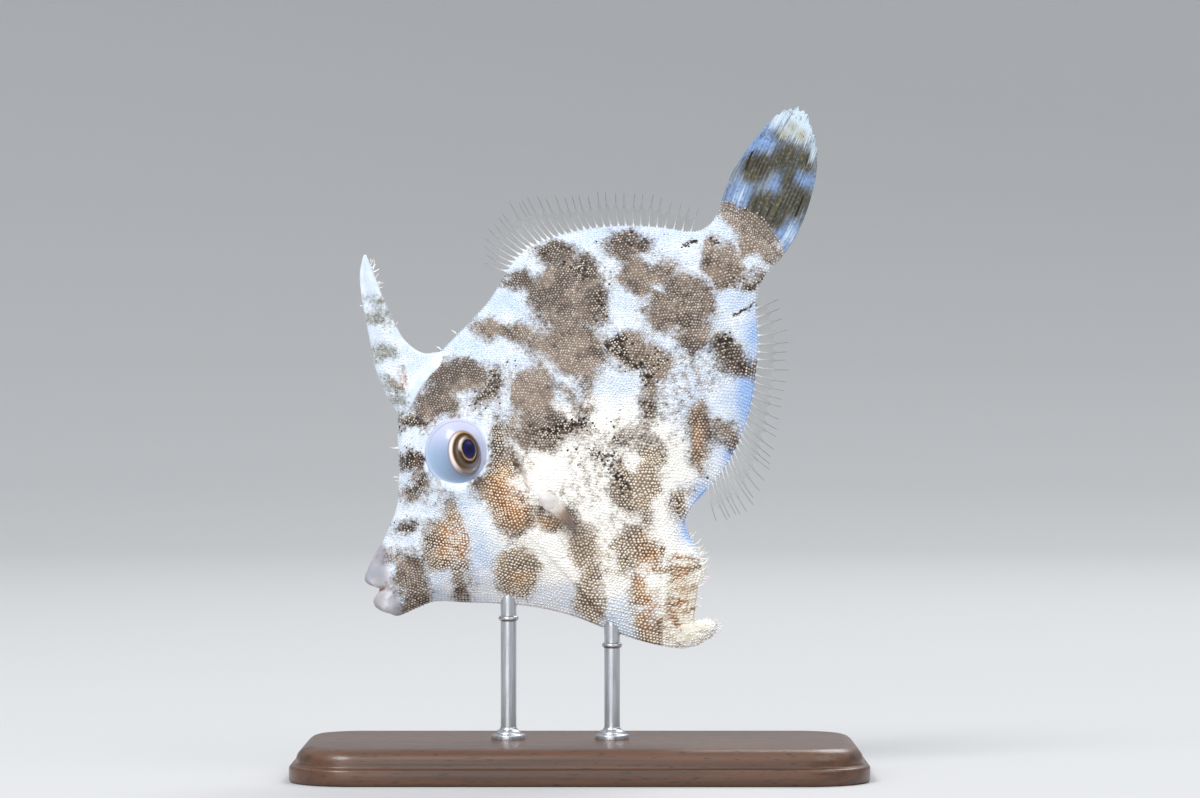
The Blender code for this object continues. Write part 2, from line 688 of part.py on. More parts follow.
def belly_height(x):
    """Height of the belly keel over a place x on the base, in the part's frame."""
    first, last = (RIB_ORDER.index(name) for name in ("snout", "pelvis"))
    rows = spread(list(RIBS.values())[first : last + 1], CURVE_POINTS)
    keel = to_part_frame(np.insert(rows[:, 2:4], 1, 0, axis=1))
    return np.interp(x, keel[:, 0], keel[:, 2])


def make_base(parts):
    """A flat slab with round corners and a small bevel along its top edge."""
    height = BASE_SIZE[2] * MM
    shell = bmesh.new()
    bmesh.ops.create_cube(shell, size=1)
    stretch = Matrix.Diagonal((*(Vector(BASE_SIZE) * MM), 1.0))
    bmesh.ops.transform(shell, verts=shell.verts, matrix=Matrix.Translation((0, 0, height / 2)) @ stretch)
    uprights = [e for e in shell.edges if abs(e.verts[0].co.z - e.verts[1].co.z) > height / 2]
    bmesh.ops.bevel(shell, geom=uprights, offset=BASE_CORNER * MM, segments=6, profile=0.5, affect="EDGES")
    rim = [e for e in shell.edges if all(v.co.z > height * 0.99 for v in e.verts)]
    bmesh.ops.bevel(shell, geom=rim, offset=BASE_BEVEL * MM, segments=2, profile=0.5, affect="EDGES")
    shell_object("stand_base", shell, parts, "stained_beech")


def cylinder(radius, foot, length):
    """An upright cylinder as a bmesh, standing on the point foot."""
    shell = bmesh.new()
    bmesh.ops.create_cone(
        shell, cap_ends=True, segments=ROD_SIDES, radius1=radius * MM, radius2=radius * MM, depth=length * MM
    )
    middle = Vector(foot) + Vector((0, 0, length / 2))
    bmesh.ops.translate(shell, verts=shell.verts, vec=middle * MM)
    return shell


def make_rods(parts):
    """Each rod stands in a collar on the base, and its top follows the slope of the keel above it."""
    foot = BASE_SIZE[2] + GAP
    for name, x in ROD_PLACES.items():
        # The rod starts inside its collar, so that the two join cleanly.
        start = foot + COLLAR_HEIGHT / 2
        shell = cylinder(ROD_RADIUS, (x, 0, start), 1)
        for vert in shell.verts:
            if vert.co.z > (start + 0.5) * MM:
                vert.co.z = (belly_height(vert.co.x / MM) - GAP) * MM
        rod = shell_object(name, shell, parts, "steel")
        collars = new_collection("collars", helper=True)
        shell_object("collar", cylinder(COLLAR_RADIUS, (x, 0, foot), COLLAR_HEIGHT), collars, "steel")
        join_pieces(rod, collars)


def main():
    clear_scene()
    fish = new_collection("filefish")
    stand = new_collection("display_stand")
    cutters = new_collection("cutters", helper=True)
    nodes = make_body(fish, cutters)
    finish_head(nodes["head"], cutters)
    finish_flap(nodes["pelvic_flap"])
    make_eyes(fish)
    make_spine(fish)
    median_fin("soft_dorsal_fin", "back", DORSAL_SPAN, DORSAL_RAYS, DORSAL_FAN, 1, fish)
    median_fin("anal_fin", "belly", ANAL_SPAN, ANAL_RAYS, ANAL_FAN, -1, fish)
    make_tail_fin(fish)
    make_breast_fins(fish)
    for cutter in cutters.objects:
        cutter.hide_render = True
        cutter.display_type = "WIRE"
    pose_fish(fish)
    make_base(stand)
    make_rods(stand)


main()
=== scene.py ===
"""The looks of a life-size filefish held nose down over its display stand.

The fish is shaped in its own frame, in millimetres: x runs from the snout to the tail, z up to the back and
y across, with the left flank at -y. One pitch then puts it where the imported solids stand. The flank's
markings are set out in the photograph's pixels, which one function turns to places on the fish.
"""

import math

import bpy
import numpy as np
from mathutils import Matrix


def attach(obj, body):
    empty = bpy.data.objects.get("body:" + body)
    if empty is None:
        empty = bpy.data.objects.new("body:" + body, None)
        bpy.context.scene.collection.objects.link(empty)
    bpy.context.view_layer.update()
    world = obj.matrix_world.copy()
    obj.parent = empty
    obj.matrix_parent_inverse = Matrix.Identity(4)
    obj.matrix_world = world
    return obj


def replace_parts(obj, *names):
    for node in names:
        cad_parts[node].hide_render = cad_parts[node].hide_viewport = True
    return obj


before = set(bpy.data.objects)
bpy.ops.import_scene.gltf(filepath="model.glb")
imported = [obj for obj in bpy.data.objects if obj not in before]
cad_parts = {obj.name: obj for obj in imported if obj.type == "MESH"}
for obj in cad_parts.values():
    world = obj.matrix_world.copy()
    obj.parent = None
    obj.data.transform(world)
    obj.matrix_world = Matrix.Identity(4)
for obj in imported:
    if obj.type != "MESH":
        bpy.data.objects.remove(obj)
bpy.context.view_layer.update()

MM = 0.001

# The pose, as the solids have it: nose down, with the snout this far from the centre of the base.
PITCH = math.radians(42)
SNOUT = np.array([-30.2, 0.0, 27.7])

# The photograph: its width, its scale in millimetres a pixel, and the pixels of the snout's tip, of its
# centre, of the row that the base stands on and of the column over the base's middle.
PHOTO_WIDTH = 1200
PIXEL = 0.14
SNOUT_PIXEL = (364.0, 577.0)
CENTRE_PIXEL = (600.0, 399.0)
FLOOR_PIXEL = 775.0
AXIS_PIXEL = 580.0

# The body's outline, snout to tail: each rib's back edge (x, z) and belly edge (x, z).
RIBS = np.array([
    (0.9, 0.38, -0.85, -6.05), (1.9, 0.85, 0.0, -7.25), (3.9, 1.6, 2.6, -8.1), (6.6, 2.5, 5.2, -9.2),
    (10.4, 4.6, 8.4, -12.3), (14.6, 9.0, 12.0, -15.8), (18.7, 13.6, 15.3, -19.5), (24.0, 15.9, 18.2, -23.8),
    (29.4, 16.3, 20.8, -28.9), (34.4, 16.6, 23.8, -34.0), (37.9, 16.9, 26.8, -37.4),
    (39.9, 17.3, 29.0, -37.0), (41.5, 17.8, 30.8, -34.9), (43.0, 18.3, 33.7, -32.4),
    (44.3, 18.7, 36.0, -30.8), (45.6, 18.9, 37.2, -28.1), (47.0, 18.9, 38.2, -24.7),
    (49.0, 18.6, 41.0, -23.3), (52.4, 17.2, 47.4, -22.5), (56.4, 14.9, 53.6, -20.0),
    (60.2, 11.9, 58.8, -16.3), (63.4, 8.7, 63.0, -12.4), (66.4, 5.2, 66.4, -8.2), (68.6, 4.3, 68.9, -6.4),
    (71.0, 4.7, 72.2, -5.9),
])
# The ribs at which the pelvis ends the belly's keel and the belly goes on behind the flap.
PELVIS_RIB, VENT_RIB = 10, 17

# Half widths at the keel, low flank, mid flank, high flank and ridge, for every WIDTH_STEP of x.
WIDTH_STEP = 6.0
WIDTHS = np.array([
    (0.9, 1.3, 1.4, 1.3, 0.9), (1.1, 2.4, 2.9, 2.5, 1.1), (1.1, 3.2, 4.3, 3.8, 1.4),
    (1.1, 3.6, 5.2, 5.0, 2.0), (1.0, 3.6, 5.6, 5.3, 1.9), (0.9, 3.5, 5.6, 5.1, 1.5),
    (0.9, 3.6, 5.3, 4.7, 1.3), (1.0, 3.7, 5.0, 4.3, 1.3), (1.2, 3.6, 4.6, 3.9, 1.2),
    (1.2, 3.2, 4.0, 3.4, 1.1), (1.1, 2.3, 3.0, 2.6, 1.0), (0.9, 1.6, 2.1, 1.8, 0.9),
    (0.7, 1.0, 1.2, 1.0, 0.7),
])
# How square the ribs' sections are at their edges, and points on a finely read curve.
EDGE_POWER = 4.0
CURVE_POINTS = 900

# The skin's grid: rings along the body, points down one flank, and rings of the snout's and tail's ends.
BODY_RINGS = 336
FLANK_POINTS = 136
SNOUT_RINGS = 16
TAIL_CAP_RINGS = 6
TAIL_CAP_REACH = 1.5

# The mouth's profile in the middle plane, from the upper lip down to the chin, as (share of the first
# rib's height, x, z). The gape folds in between the lips.
MOUTH = np.array([
    (1.0, 0.45, 0.22), (0.94, -0.1, -0.2), (0.88, -0.3, -0.65), (0.8, -0.2, -1.2), (0.73, 0.02, -1.65),
    (0.66, 0.3, -2.1), (0.6, 0.65, -2.6), (0.545, 0.85, -2.9), (0.5, 0.2, -2.97), (0.44, -0.65, -3.03),
    (0.36, -1.3, -3.35), (0.27, -1.6, -3.95), (0.19, -1.55, -4.5), (0.11, -1.38, -5.1), (0.05, -1.15, -5.6),
    (0.0, -0.85, -6.05),
])
# The gape's share of the first rib's height, how deep its corner is, and the corner's line (x, z).
GAPE_SHARE, GAPE_DEPTH = 0.55, 0.55
GAPE_CORNER = ((0.55, -2.9), (1.0, -3.05))
# The fold round the lips and a small crease before it, in the photograph's pixels.
LIP_FOLD = ((392, 570), (393.5, 579), (393, 592), (388, 598), (386.5, 612))
LIP_CREASE = ((386.5, 583), (388.5, 590))
# Where the lips' smooth skin ends: x, and its change with z.
LIP_BOUNDARY = (4.4, 0.45)

# The eye's middle, its radius and its height over its width; what lies round it on the skin.
EYE = (21.54, 3.9, 4.07)
EYE_RADIUS = 4.1
EYE_TALLNESS = 1.05
EYE_CLEARANCE = 4.8
GILL_SLIT = ((26.6, -2.3), (26.3, -4.4), (25.3, -6.5))
NOSTRILS = ((16.5, 7.3), (15.9, 6.0))

# The back spine's sections, foot to tip: front edge (x, z), rear edge (x, z), half widths of rod and web.
SPINE_RIBS = np.array([
    (18.7, 14.2, 29.2, 16.7, 1.6, 0.5), (19.4, 17.0, 27.1, 17.8, 1.4, 0.4),
    (20.9, 21.0, 26.4, 20.8, 1.2, 0.35), (23.3, 25.0, 27.1, 24.0, 1.1, 0.35),
    (25.7, 29.0, 28.5, 28.3, 0.9, 0.35), (27.9, 31.9, 29.7, 31.4, 0.7, 0.35),
    (30.1, 33.6, 30.4, 33.4, 0.2, 0.2),
])
# The rod's share of a section, and how deep the foot goes into the back.
SPINE_ROD_SHARE = 0.62
SPINE_SINK = 1.6

# Soft fins: the span of x that they stand on, rays, and the length and angle of rays along it.
BACK_FIN = {"which": "back", "span": (43.6, 66.2), "rays": 31, "turn": 1,
            "fan": ((3.2, 121), (6.4, 97), (6.9, 86), (5.6, 76), (4.8, 60), (4.4, 42), (3.4, 26))}
VENT_FIN = {"which": "belly", "span": (44.6, 65.8), "rays": 29, "turn": -1,
            "fan": ((5.4, -124), (7.0, -112), (6.6, -98), (5.2, -84), (4.6, -62), (4.2, -38), (3.6, -12))}
FIN_SWAY, FIN_WAVES, SWAY_POWER = 1.3, 1.1, 1.4
SOFT_FIN_STEPS, RAY_SIDES, WEB_ROWS = 25, 6, 6
# The breast fin: its root, the length and angle of rays along it, its rays, and its fleshy foot.
BREAST_FIN_ROOT = ((27.9, -9.8), (25.5, -9.5))
BREAST_FIN_FAN = ((3.9, -94), (4.9, -92), (5.3, -89), (4.7, -86))
BREAST_FIN_RAYS, BREAST_FIN_STEPS = 10, 21
BREAST_FIN_LIFT = 0.24
BREAST_FOOT, BREAST_FOOT_TURN, BREAST_FOOT_PIXEL = (1.8, 1.2, 0.6), -45, (549.0, 500.0)
# The tail fin's root and tips (x, z), and its rays, how far they fan out, and its sideways bend.
TAIL_ROOT = ((71.35, 4.7), (72.0, 1.6), (72.45, -2.2), (72.7, -5.7))
TAIL_TIPS = ((82.4, 9.0), (86.2, 9.5), (88.5, 8.9), (89.7, 7.5), (88.9, 4.9), (87.2, 2.0), (84.1, -0.9))
TAIL_RAYS, TAIL_BULGE, TAIL_SWAY = 12, 1.0, 0.9

# Granules: their spacing in millimetres at the back and how it grows away from a point above the back.
GRAIN_SPACING = 0.38
GRAIN_CENTRE = (0.0, 140.0)
GRAIN_REACH = 133.0
# A row stands 0.866 of the spacing from the next, as in a triangular lattice.
ROW_STEP = 0.866
EDGE_ROWS = 5
FAN_RIBS = 700
# Points of one granule, and the markings that each carries.
GRAIN_POINTS = 7
COAT_MARKS = ("brown", "pepper", "ochre", "warm", "bright", "cool", "cloud", "dash")

# The stand: a slab with a moulded edge and two turned rods with collars.
BASE_SIZE = (80.0, 38.0, 5.0)
BASE_CORNER = 9.0
ROD_RADIUS = 1.1
ROD_PLACES = {"stand_rod_front": -10.0, "stand_rod_rear": 4.5}
ROD_SINK = 1.6
# The slab's moulded edge, from the underside up: how far in it stands, and its height.
MOULDING = (
    (0.9, 0.0), (0.45, 0.0), (0.1, 0.15), (0.0, 0.5), (0.0, 1.9), (0.06, 2.15), (0.25, 2.3), (0.6, 2.36),
    (0.85, 2.45), (0.95, 2.65), (0.95, 2.95), (1.0, 3.4), (1.2, 3.9), (1.6, 4.4), (2.1, 4.75), (2.7, 4.94),
    (3.4, 5.0), (4.2, 5.0), (7.0, 5.0),
)
# A rod's collar over the base's top and its ring under the belly: radius and height.
ROD_COLLAR = (
    (0.0, -0.4), (2.2, -0.4), (2.4, 0.0), (2.4, 0.55), (2.28, 0.72), (1.95, 0.82), (1.85, 1.0), (1.62, 1.25),
    (1.28, 1.4), (1.14, 1.7),
)
ROD_NECK = ((1.12, -2.4), (1.36, -2.2), (1.42, -2.0), (1.36, -1.8), (1.12, -1.6))

# The stage: the floor's profile (radius, height) in millimetres, the lamps as (name, place, size, watts)
# and where they aim, in metres, and how far the camera is from the middle plane.
FLOOR_PROFILE = (
    (0.01, 0), (300, 0), (700, 0), (900, 0), (1100, 18), (1300, 70), (1500, 155), (1700, 290), (1850, 430),
    (1960, 580), (2040, 740), (2090, 920), (2100, 1100),
)
LAMPS = (
    ("key", (-0.42, -0.62, 0.85), 0.40, 7.9), ("fill", (0.60, -0.55, 0.75), 0.7, 2.5),
    ("low", (-0.25, -0.85, 0.10), 0.6, 2.7), ("rim", (0.35, 0.60, 0.85), 0.5, 5.0),
)
LAMP_AIM = (0.0, 0.0, 0.05)
CAMERA_DISTANCE = 0.6


def linear(code):
    """A hex sRGB colour as linear RGB with alpha 1."""
    parts = np.array([int(code[i : i + 2], 16) for i in (1, 3, 5)]) / 255
    return (*np.where(parts <= 0.04045, parts / 12.92, ((parts + 0.055) / 1.055) ** 2.4), 1.0)


def padded(rows):
    """The rows with one more at each end, in line with their neighbours."""
    rows = np.asarray(rows, float)
    return np.concatenate([2 * rows[:1] - rows[1:2], rows, 2 * rows[-1:] - rows[-2:-1]])


def spline_weights(at, count):
    """For places among count rows: the first of four padded neighbours of each, and their weights."""
    at = np.clip(np.asarray(at, float), 0, count - 1)
    first = np.minimum(at.astype(int), count - 2)
    f = at - first
    weights = (-f + 2 * f**2 - f**3, 2 - 5 * f**2 + 3 * f**3, f + 4 * f**2 - 3 * f**3, f**3 - f**2)
    return first, [w / 2 for w in weights]


def spline(rows, at):
    """The Catmull-Rom curve through the rows, read at parameters that count one for each row."""
    first, weights = spline_weights(at, len(rows))
    points = padded(rows)
    return sum(w[..., None] * points[first + k] for k, w in enumerate(weights))


def soft_step(value, low, high):
    """0 below low, 1 above high and a smooth rise between."""
    share = np.clip((value - low) / (high - low), 0, 1)
    return share * share * (3 - 2 * share)


def bump(value, width, power=2):
    """1 where the value is 0, falling away smoothly over about the width."""
    return np.exp(-((value / width) ** power))


def ripple(x, z, size, seed):
    """Smooth random waves of about that size, from -1 to 1: bent sines in several directions, summed."""
    draw = np.random.default_rng(seed)
    total = 0.0
    for turn in np.linspace(0, np.pi, 7)[:-1] + draw.uniform(0, 0.5, 6):
        pitch = 2 * np.pi / (size * draw.uniform(0.7, 1.5))
        phase = draw.uniform(0, 2 * np.pi, 2)
        bend = 1.3 * np.sin(pitch * 0.6 * (x * np.sin(turn) - z * np.cos(turn)) + phase[1])
        total = total + np.sin(pitch * (x * np.cos(turn) + z * np.sin(turn)) + phase[0] + bend)
    return total / 3.2


def upright(x, z):
    """The same offsets read left to right and upwards in the photograph."""
    return x * math.cos(PITCH) - z * math.sin(PITCH), x * math.sin(PITCH) + z * math.cos(PITCH)


def eye_distance(x, z):
    """How far places are from the eye's middle, by a measure in which the tall ball is round."""
    across, up = upright(x - EYE[0], z - EYE[2])
    return np.hypot(across, up / EYE_TALLNESS)


def line_distance(x, z, line):
    """How far places are from a bent line of points (x, z)."""
    best = np.full(np.shape(x), np.inf)
    for (ax, az), (bx, bz) in zip(line[:-1], line[1:]):
        run = np.array([bx - ax, bz - az])
        share = np.clip(((x - ax) * run[0] + (z - az) * run[1]) / (run @ run), 0, 1)
        best = np.minimum(best, np.hypot(x - ax - share * run[0], z - az - share * run[1]))
    return best


def to_part_frame(points):
    """Points of the fish's own frame, in millimetres, where they stand over the base."""
    x, y, z = np.moveaxis(np.asarray(points, float), -1, 0)
    across, up = upright(x, z)
    return np.stack([across, y, up], axis=-1) + SNOUT


def own_place(px, py):
    """The place (x, z) on the fish under a pixel of the photograph."""
    across, up = (np.asarray(px) - SNOUT_PIXEL[0]) * PIXEL, (SNOUT_PIXEL[1] - np.asarray(py)) * PIXEL
    cos, sin = math.cos(PITCH), math.sin(PITCH)
    return across * cos + up * sin, up * cos - across * sin


def photo_place(x, z):
    """The pixel of the photograph over a place on the fish."""
    across, up = upright(x, z)
    return SNOUT_PIXEL[0] + across / PIXEL, SNOUT_PIXEL[1] - up / PIXEL


# The flank's markings, each a group of ovals in the photograph's pixels: middle (x, y), half length, half
# width and, where it isn't 0, the turn in degrees. First the brown patches.
PATCHES = {
    "front back patch": (
        (555, 255, 19, 14), (521, 282, 19, 8, -10), (567, 292, 37, 29, 10), (582, 269, 14, 11),
        (598, 301, 10, 18), (568, 318, 29, 13),
    ),
    "mid band": ((488, 328, 12, 6), (514, 333, 28, 10, -8), (569, 350, 38, 24), (566, 374, 30, 12, -10)),
    "behind the eye": (
        (532, 395, 22, 27, 10), (534, 427, 28, 20), (562, 428, 24, 10, -5), (546, 442, 14, 8),
        (578, 388, 14, 15), (584, 402, 8, 14),
    ),
    "second back patch": (
        (628, 247, 23, 13), (641, 276, 24, 19), (657, 270, 16, 8, 10), (664, 285, 15, 10, -30),
    ),
    "rear patch": ((683, 303, 33, 26, -12), (660, 318, 16, 12), (693, 338, 14, 18, -15)),
    "peppered patch": ((634, 350, 24, 17, -20), (655, 366, 14, 13), (652, 384, 9, 11), (647, 408, 6, 16)),
    "anal base": ((719, 346, 10, 16, 10), (734, 360, 14, 13, -20), (748, 370, 10, 10)),
    "low rear": ((699, 424, 12, 19, 10), (699, 453, 6, 16), (722, 432, 9, 11), (732, 440, 9, 7, -20)),
    "mid rear": ((635, 482, 25, 28, -20), (632, 437, 22, 9, 5), (650, 456, 11, 16), (646, 513, 4, 11)),
    "oval": ((680, 502, 8, 14, -20),),
    "belly band": ((583, 546, 16, 21, 15), (591, 572, 7, 14), (589, 601, 13, 23)),
    "flap band": (
        (634, 541, 13, 16), (622, 555, 8, 15), (650, 553, 10, 9), (646, 588, 15, 32), (649, 626, 15, 22),
    ),
    "under the breast fin": ((548, 520, 17, 10, -15), (573, 519, 9, 14, 20)),
    "round spot": ((518, 569, 22, 24),),
    "cheek": ((452, 514, 8, 16, 10), (450, 546, 20, 30), (462, 588, 9, 15), (433, 549, 8, 18)),
    "snout": ((411, 572, 15, 20), (393, 554, 8, 4, 15), (419, 598, 11, 14), (409, 602, 8, 12)),
    "brow bars": (
        (416, 422, 19, 8), (414, 461, 17, 9), (424, 480, 13, 8, 35), (412, 494, 9, 5, 25),
        (409, 526, 12, 6, 15),
    ),
    "over the eye": ((459, 375, 32, 15), (434, 402, 20, 15, 30), (490, 391, 7, 20, -35), (447, 408, 12, 8)),
    "ochre band": ((498, 444, 8, 24), (493, 485, 17, 18), (512, 512, 20, 24, 10), (507, 466, 9, 16)),
    "tail stalk": (
        (741, 222, 23, 11, -40), (757, 236, 20, 14, -40), (724, 267, 19, 19), (738, 250, 16, 12),
        (710, 246, 5, 8), (770, 254, 10, 10), (750, 281, 10, 5, 10), (751, 213, 16, 8, -30),
        (767, 232, 10, 14, -20), (730, 207, 9, 5, -30),
    ),
    "spine bands": (
        (379, 317, 12, 6), (384, 353, 10, 6), (391, 385, 9, 6), (379, 301, 5, 2), (400, 401, 8, 4, 10),
    ),
}
# Thin dark strokes, and rusty ones at the spine's foot, each a line and half its width. They deepen by
# STROKE_DEPTH for each pixel in from their edge.
STROKES = (
    (((684, 246), (690, 242.5), (696, 240.5)), 2.0), (((733, 316), (745, 309), (757, 301)), 1.2),
    (((701, 466), (706, 474), (712, 481)), 0.8),
)
RUST = (
    (((398, 368), (401, 379)), 1.0), (((403, 366), (406, 384)), 1.3), (((411, 377), (413, 385)), 0.8),
)
STROKE_DEPTH = 2.2
# Bare white places within the patches, black pepper, ochre flush, a thin veil, and where brown is faint.
BARE = {
    "in the back patches": ((654, 259, 10, 4, -10), (658, 287, 5, 3)),
    "over the band": ((505, 302, 22, 9, -20), (487, 350, 34, 7, -8)),
    "round the eye": ((457, 451, 31.5, 33.5),),
    "on the tail stalk": ((724, 230, 6, 17, 28), (755, 265, 10, 9, 30)),
    "middle": ((615, 400, 24, 22),),
    "over the breast fin": ((565, 381, 20, 4, -40),),
    "mid rear light": ((631, 460, 8, 7), (664, 430, 10, 8)),
    "flap light": (
        (653, 580, 7, 6), (640, 573, 5, 3), (656, 598, 3, 5), (639, 606, 5, 3, 20), (656, 617, 4, 4),
        (646, 563, 4, 2, 30),
    ),
    "cheek light": ((441, 583, 12, 13),),
}
PEPPER = {
    "peppered patch": (
        (616, 344, 7, 7), (626, 356, 13, 6, -45), (640, 368, 11, 6, -35), (648, 381, 7, 8),
        (645, 404, 4, 7), (648, 419, 4, 6), (655, 359, 6, 4),
    ),
    "behind the eye": ((556, 430, 20, 8, 10), (580, 424, 10, 7)),
    "mid flank": ((601, 456, 14, 5, -10), (615, 437, 4, 8), (592, 455, 4, 5), (616, 478, 15, 5, -55)),
    "brow": (
        (489, 391, 6, 19, -35), (413, 458, 13, 6), (415, 423, 14, 5), (411, 527, 9, 4, 15),
        (422, 481, 12, 4, 35),
    ),
    "back": ((580, 269, 12, 4, -20), (553, 250, 14, 5), (636, 242, 14, 4), (600, 303, 6, 9)),
    "anal base": ((722, 344, 6, 9), (745, 366, 7, 7)),
    "tail stalk": ((713, 243, 4, 4), (757, 214, 14, 5, -35), (748, 282, 8, 3)),
}
OCHRE = {
    "behind the eye": ((506, 489, 16, 24, 15), (515, 507, 14, 18)),
    "cheek": ((458, 540, 18, 22),),
    "flap": ((646, 582, 10, 38), (652, 556, 8, 8), (680, 590, 11, 44)),
    "round spot": ((520, 577, 5, 4),),
    "spine": ((405, 376, 9, 11),),
    "low rear": ((698, 438, 3, 11),),
    "breast": ((547, 522, 6, 3, -15),),
}
MOTTLE = {
    "middle": (
        (600, 458, 38, 26), (640, 430, 30, 22), (618, 362, 22, 12), (592, 492, 14, 14), (672, 372, 26, 26),
        (704, 372, 18, 24), (672, 412, 22, 34), (570, 385, 22, 20), (600, 440, 20, 14),
    ),
    "head": ((440, 410, 26, 14), (430, 490, 18, 18), (520, 450, 20, 22), (560, 500, 26, 16, 20)),
    "flap": ((620, 520, 26, 10), (610, 560, 16, 20)),
}
FAINT = {
    "cheek": ((466, 545, 22, 34),),
    "behind the eye": ((518, 486, 14, 26),),
    "mid rear": ((640, 437, 26, 14),),
    "behind": ((519, 420, 8, 18), (578, 388, 12, 16)),
    "spine": ((388, 350, 14, 60),),
}
# Where the brown and its granules are darker, and where they are lighter.
DARK = {
    "back": (
        (553, 250, 18, 7), (578, 267, 18, 10, -15), (520, 283, 15, 8), (600, 303, 9, 14),
        (546, 300, 14, 11), (628, 244, 22, 11), (689, 347, 12, 8),
    ),
    "head": (
        (455, 368, 32, 9), (434, 388, 12, 14, 30), (414, 424, 16, 8), (412, 461, 13, 9), (410, 527, 12, 8),
        (498, 446, 7, 26),
    ),
    "anal base": ((733, 358, 26, 18, -20),),
}
LIGHT = {
    "rest": (
        (532, 392, 20, 22), (565, 355, 24, 16), (518, 570, 24, 26), (745, 242, 36, 30, -40),
        (646, 600, 14, 30), (645, 485, 20, 20), (589, 600, 20, 30), (583, 550, 20, 26), (646, 368, 26, 22),
    ),
}
# Painted bluish shade: blue-white at the rear edge, and a paler blue cast of shade elsewhere along the edges
# and the keel.
COOL_SHADE = {
    "rear": (
        (750, 395, 10, 24), (738, 455, 10, 12), (704, 505, 8, 18), (694, 528, 10, 12), (753, 335, 5, 12),
    ),
}
CAST_SHADE = {
    "head": ((470, 350, 30, 9, -10),),
    "keel": ((540, 595, 40, 12, -10), (480, 600, 30, 8), (480, 570, 12, 24)),
    "back": ((620, 232, 80, 8), (500, 300, 26, 10, -30), (720, 210, 14, 16), (735, 300, 16, 10)),
    "rear": ((745, 395, 16, 30), (735, 450, 16, 20), (690, 515, 18, 30)),
}
# The flap: dashes and their turn in degrees, the pale seam before them, pale places, and brown streaks.
DASH_TURN = 14.0
DASHES = {"flap": ((682, 600, 18, 42), (676, 628, 20, 16), (700, 632, 22, 9, 10))}
SEAM = ((663.5, 550), (664.5, 646))
PALE = {"flap's edge": ((695, 590, 4, 24), (676, 543, 12, 7, -20), (654, 581, 6, 5, 20), (684, 618, 8, 6))}
FLAP_STREAKS = (
    (((655, 570), (664, 569.5), (671, 567.5), (681, 568), (688, 569.5), (698, 566.5)), 2.2),
    (((666, 573), (681, 572.5), (687, 574)), 1.0),
    (((668, 561), (674, 556), (682, 557), (692, 558), (698, 562)), 1.3),
    (((671, 581), (678, 575), (683, 578)), 1.1), (((668, 604), (678, 604), (686, 601)), 2.0),
    (((669, 600), (675, 598), (684, 601)), 1.2), (((684, 593), (691, 590), (693, 586)), 1.1),
    (((669, 609), (674, 616), (677, 624), (682, 632)), 2.4), (((648, 549), (655, 553), (661, 551)), 4.5),
    (((672, 588), (680, 590), (686, 586)), 0.7), (((674, 611), (684, 612), (691, 609)), 0.9),
)
# The tail fin: olive blotches, cream, gold and blue, the skin that runs out over it, and two dark slits.
TAIL_MARKS = {
    "olive": {
        "upper band": (
            (756, 166, 14, 16, -30), (786, 157, 12, 15, -20), (806, 161, 9, 13), (771, 164, 12, 7),
            (779, 134, 7, 6), (801, 136, 5, 6),
        ),
        "lower band": (
            (763, 206, 16, 15, -20), (797, 200, 13, 16, -10), (788, 180, 7, 15, -10), (774, 218, 12, 12),
            (780, 205, 12, 12),
        ),
    },
    "cream": {
        "tip": (
            (797, 117, 12, 11, 10), (779, 117, 12, 8, 40), (803, 131, 13, 12), (812, 145, 4, 12, 5),
            (786, 131, 8, 7, 20),
        ),
        "foot": ((738, 198, 3, 6, -25), (788, 235, 3, 7, -30)),
    },
    "gold": {"flecks": ((784, 133, 4, 4), (801, 136, 4, 5), (793, 127, 3, 4))},
    "blue": {
        "patches": (
            (772, 126, 12, 6, 40), (738, 198, 11, 16, -25), (765, 142, 12, 10, 40), (804, 180, 10, 8, -20),
            (786, 236, 12, 13, -30), (750, 150, 8, 12, -30), (774, 187, 4, 11, -25),
        ),
    },
    "skin": {"foot": ((740, 237, 31, 29, -40), (762, 253, 20, 21, -40), (727, 210, 8, 8))},
}
TAIL_SLITS = ((745.5, 169), (752, 152)), ((795, 216), (803, 197))
# Where the granules over brown are vivid, and where the white is warmer: the flap's own cream, and a painted
# pool of light on the belly's middle.
BRIGHT = {
    "flap and belly": ((640, 590, 70, 60), (520, 570, 30, 30), (590, 580, 30, 50)),
    "behind the eye": ((508, 492, 24, 34, 10), (455, 545, 26, 34)),
    "mid rear": ((645, 480, 30, 36),),
    "oval": ((680, 502, 12, 16),),
    "by the eye": ((498, 445, 8, 26),),
}
WARM_AND_LIT = {
    "flap": ((680, 590, 40, 60),),
    "belly middle": ((600, 500, 110, 100), (520, 600, 60, 40)),
}
# How far neighbouring ovals run together, and the waves (size, height) of their edges, all in pixels.
PATCH_BLEND = 2.5
WARPS = ((34, 4.0), (12, 1.6))


def inside(px, py, groups):
    """How far inside the nearest oval each place is, in pixels, with neighbouring ovals run together."""
    total = 0.0
    for oval in (oval for group in groups.values() for oval in group):
        x, y, length, width, turn = (*oval, 0)[:5]
        cos, sin = math.cos(math.radians(turn)), math.sin(math.radians(turn))
        along = ((px - x) * cos - (py - y) * sin) / length
        across = ((px - x) * sin + (py - y) * cos) / width
        depth = (1 - np.hypot(along, across)) * min(length, width)
        total = total + np.exp(np.clip(depth, -60, 60) / PATCH_BLEND)
    return PATCH_BLEND * np.log(total)


def stroked(px, py, strokes):
    """How deep in the nearest stroke each place is, from the stroke's edge to its line."""
    return STROKE_DEPTH * np.max([half - line_distance(px, py, line) for line, half in strokes], axis=0)


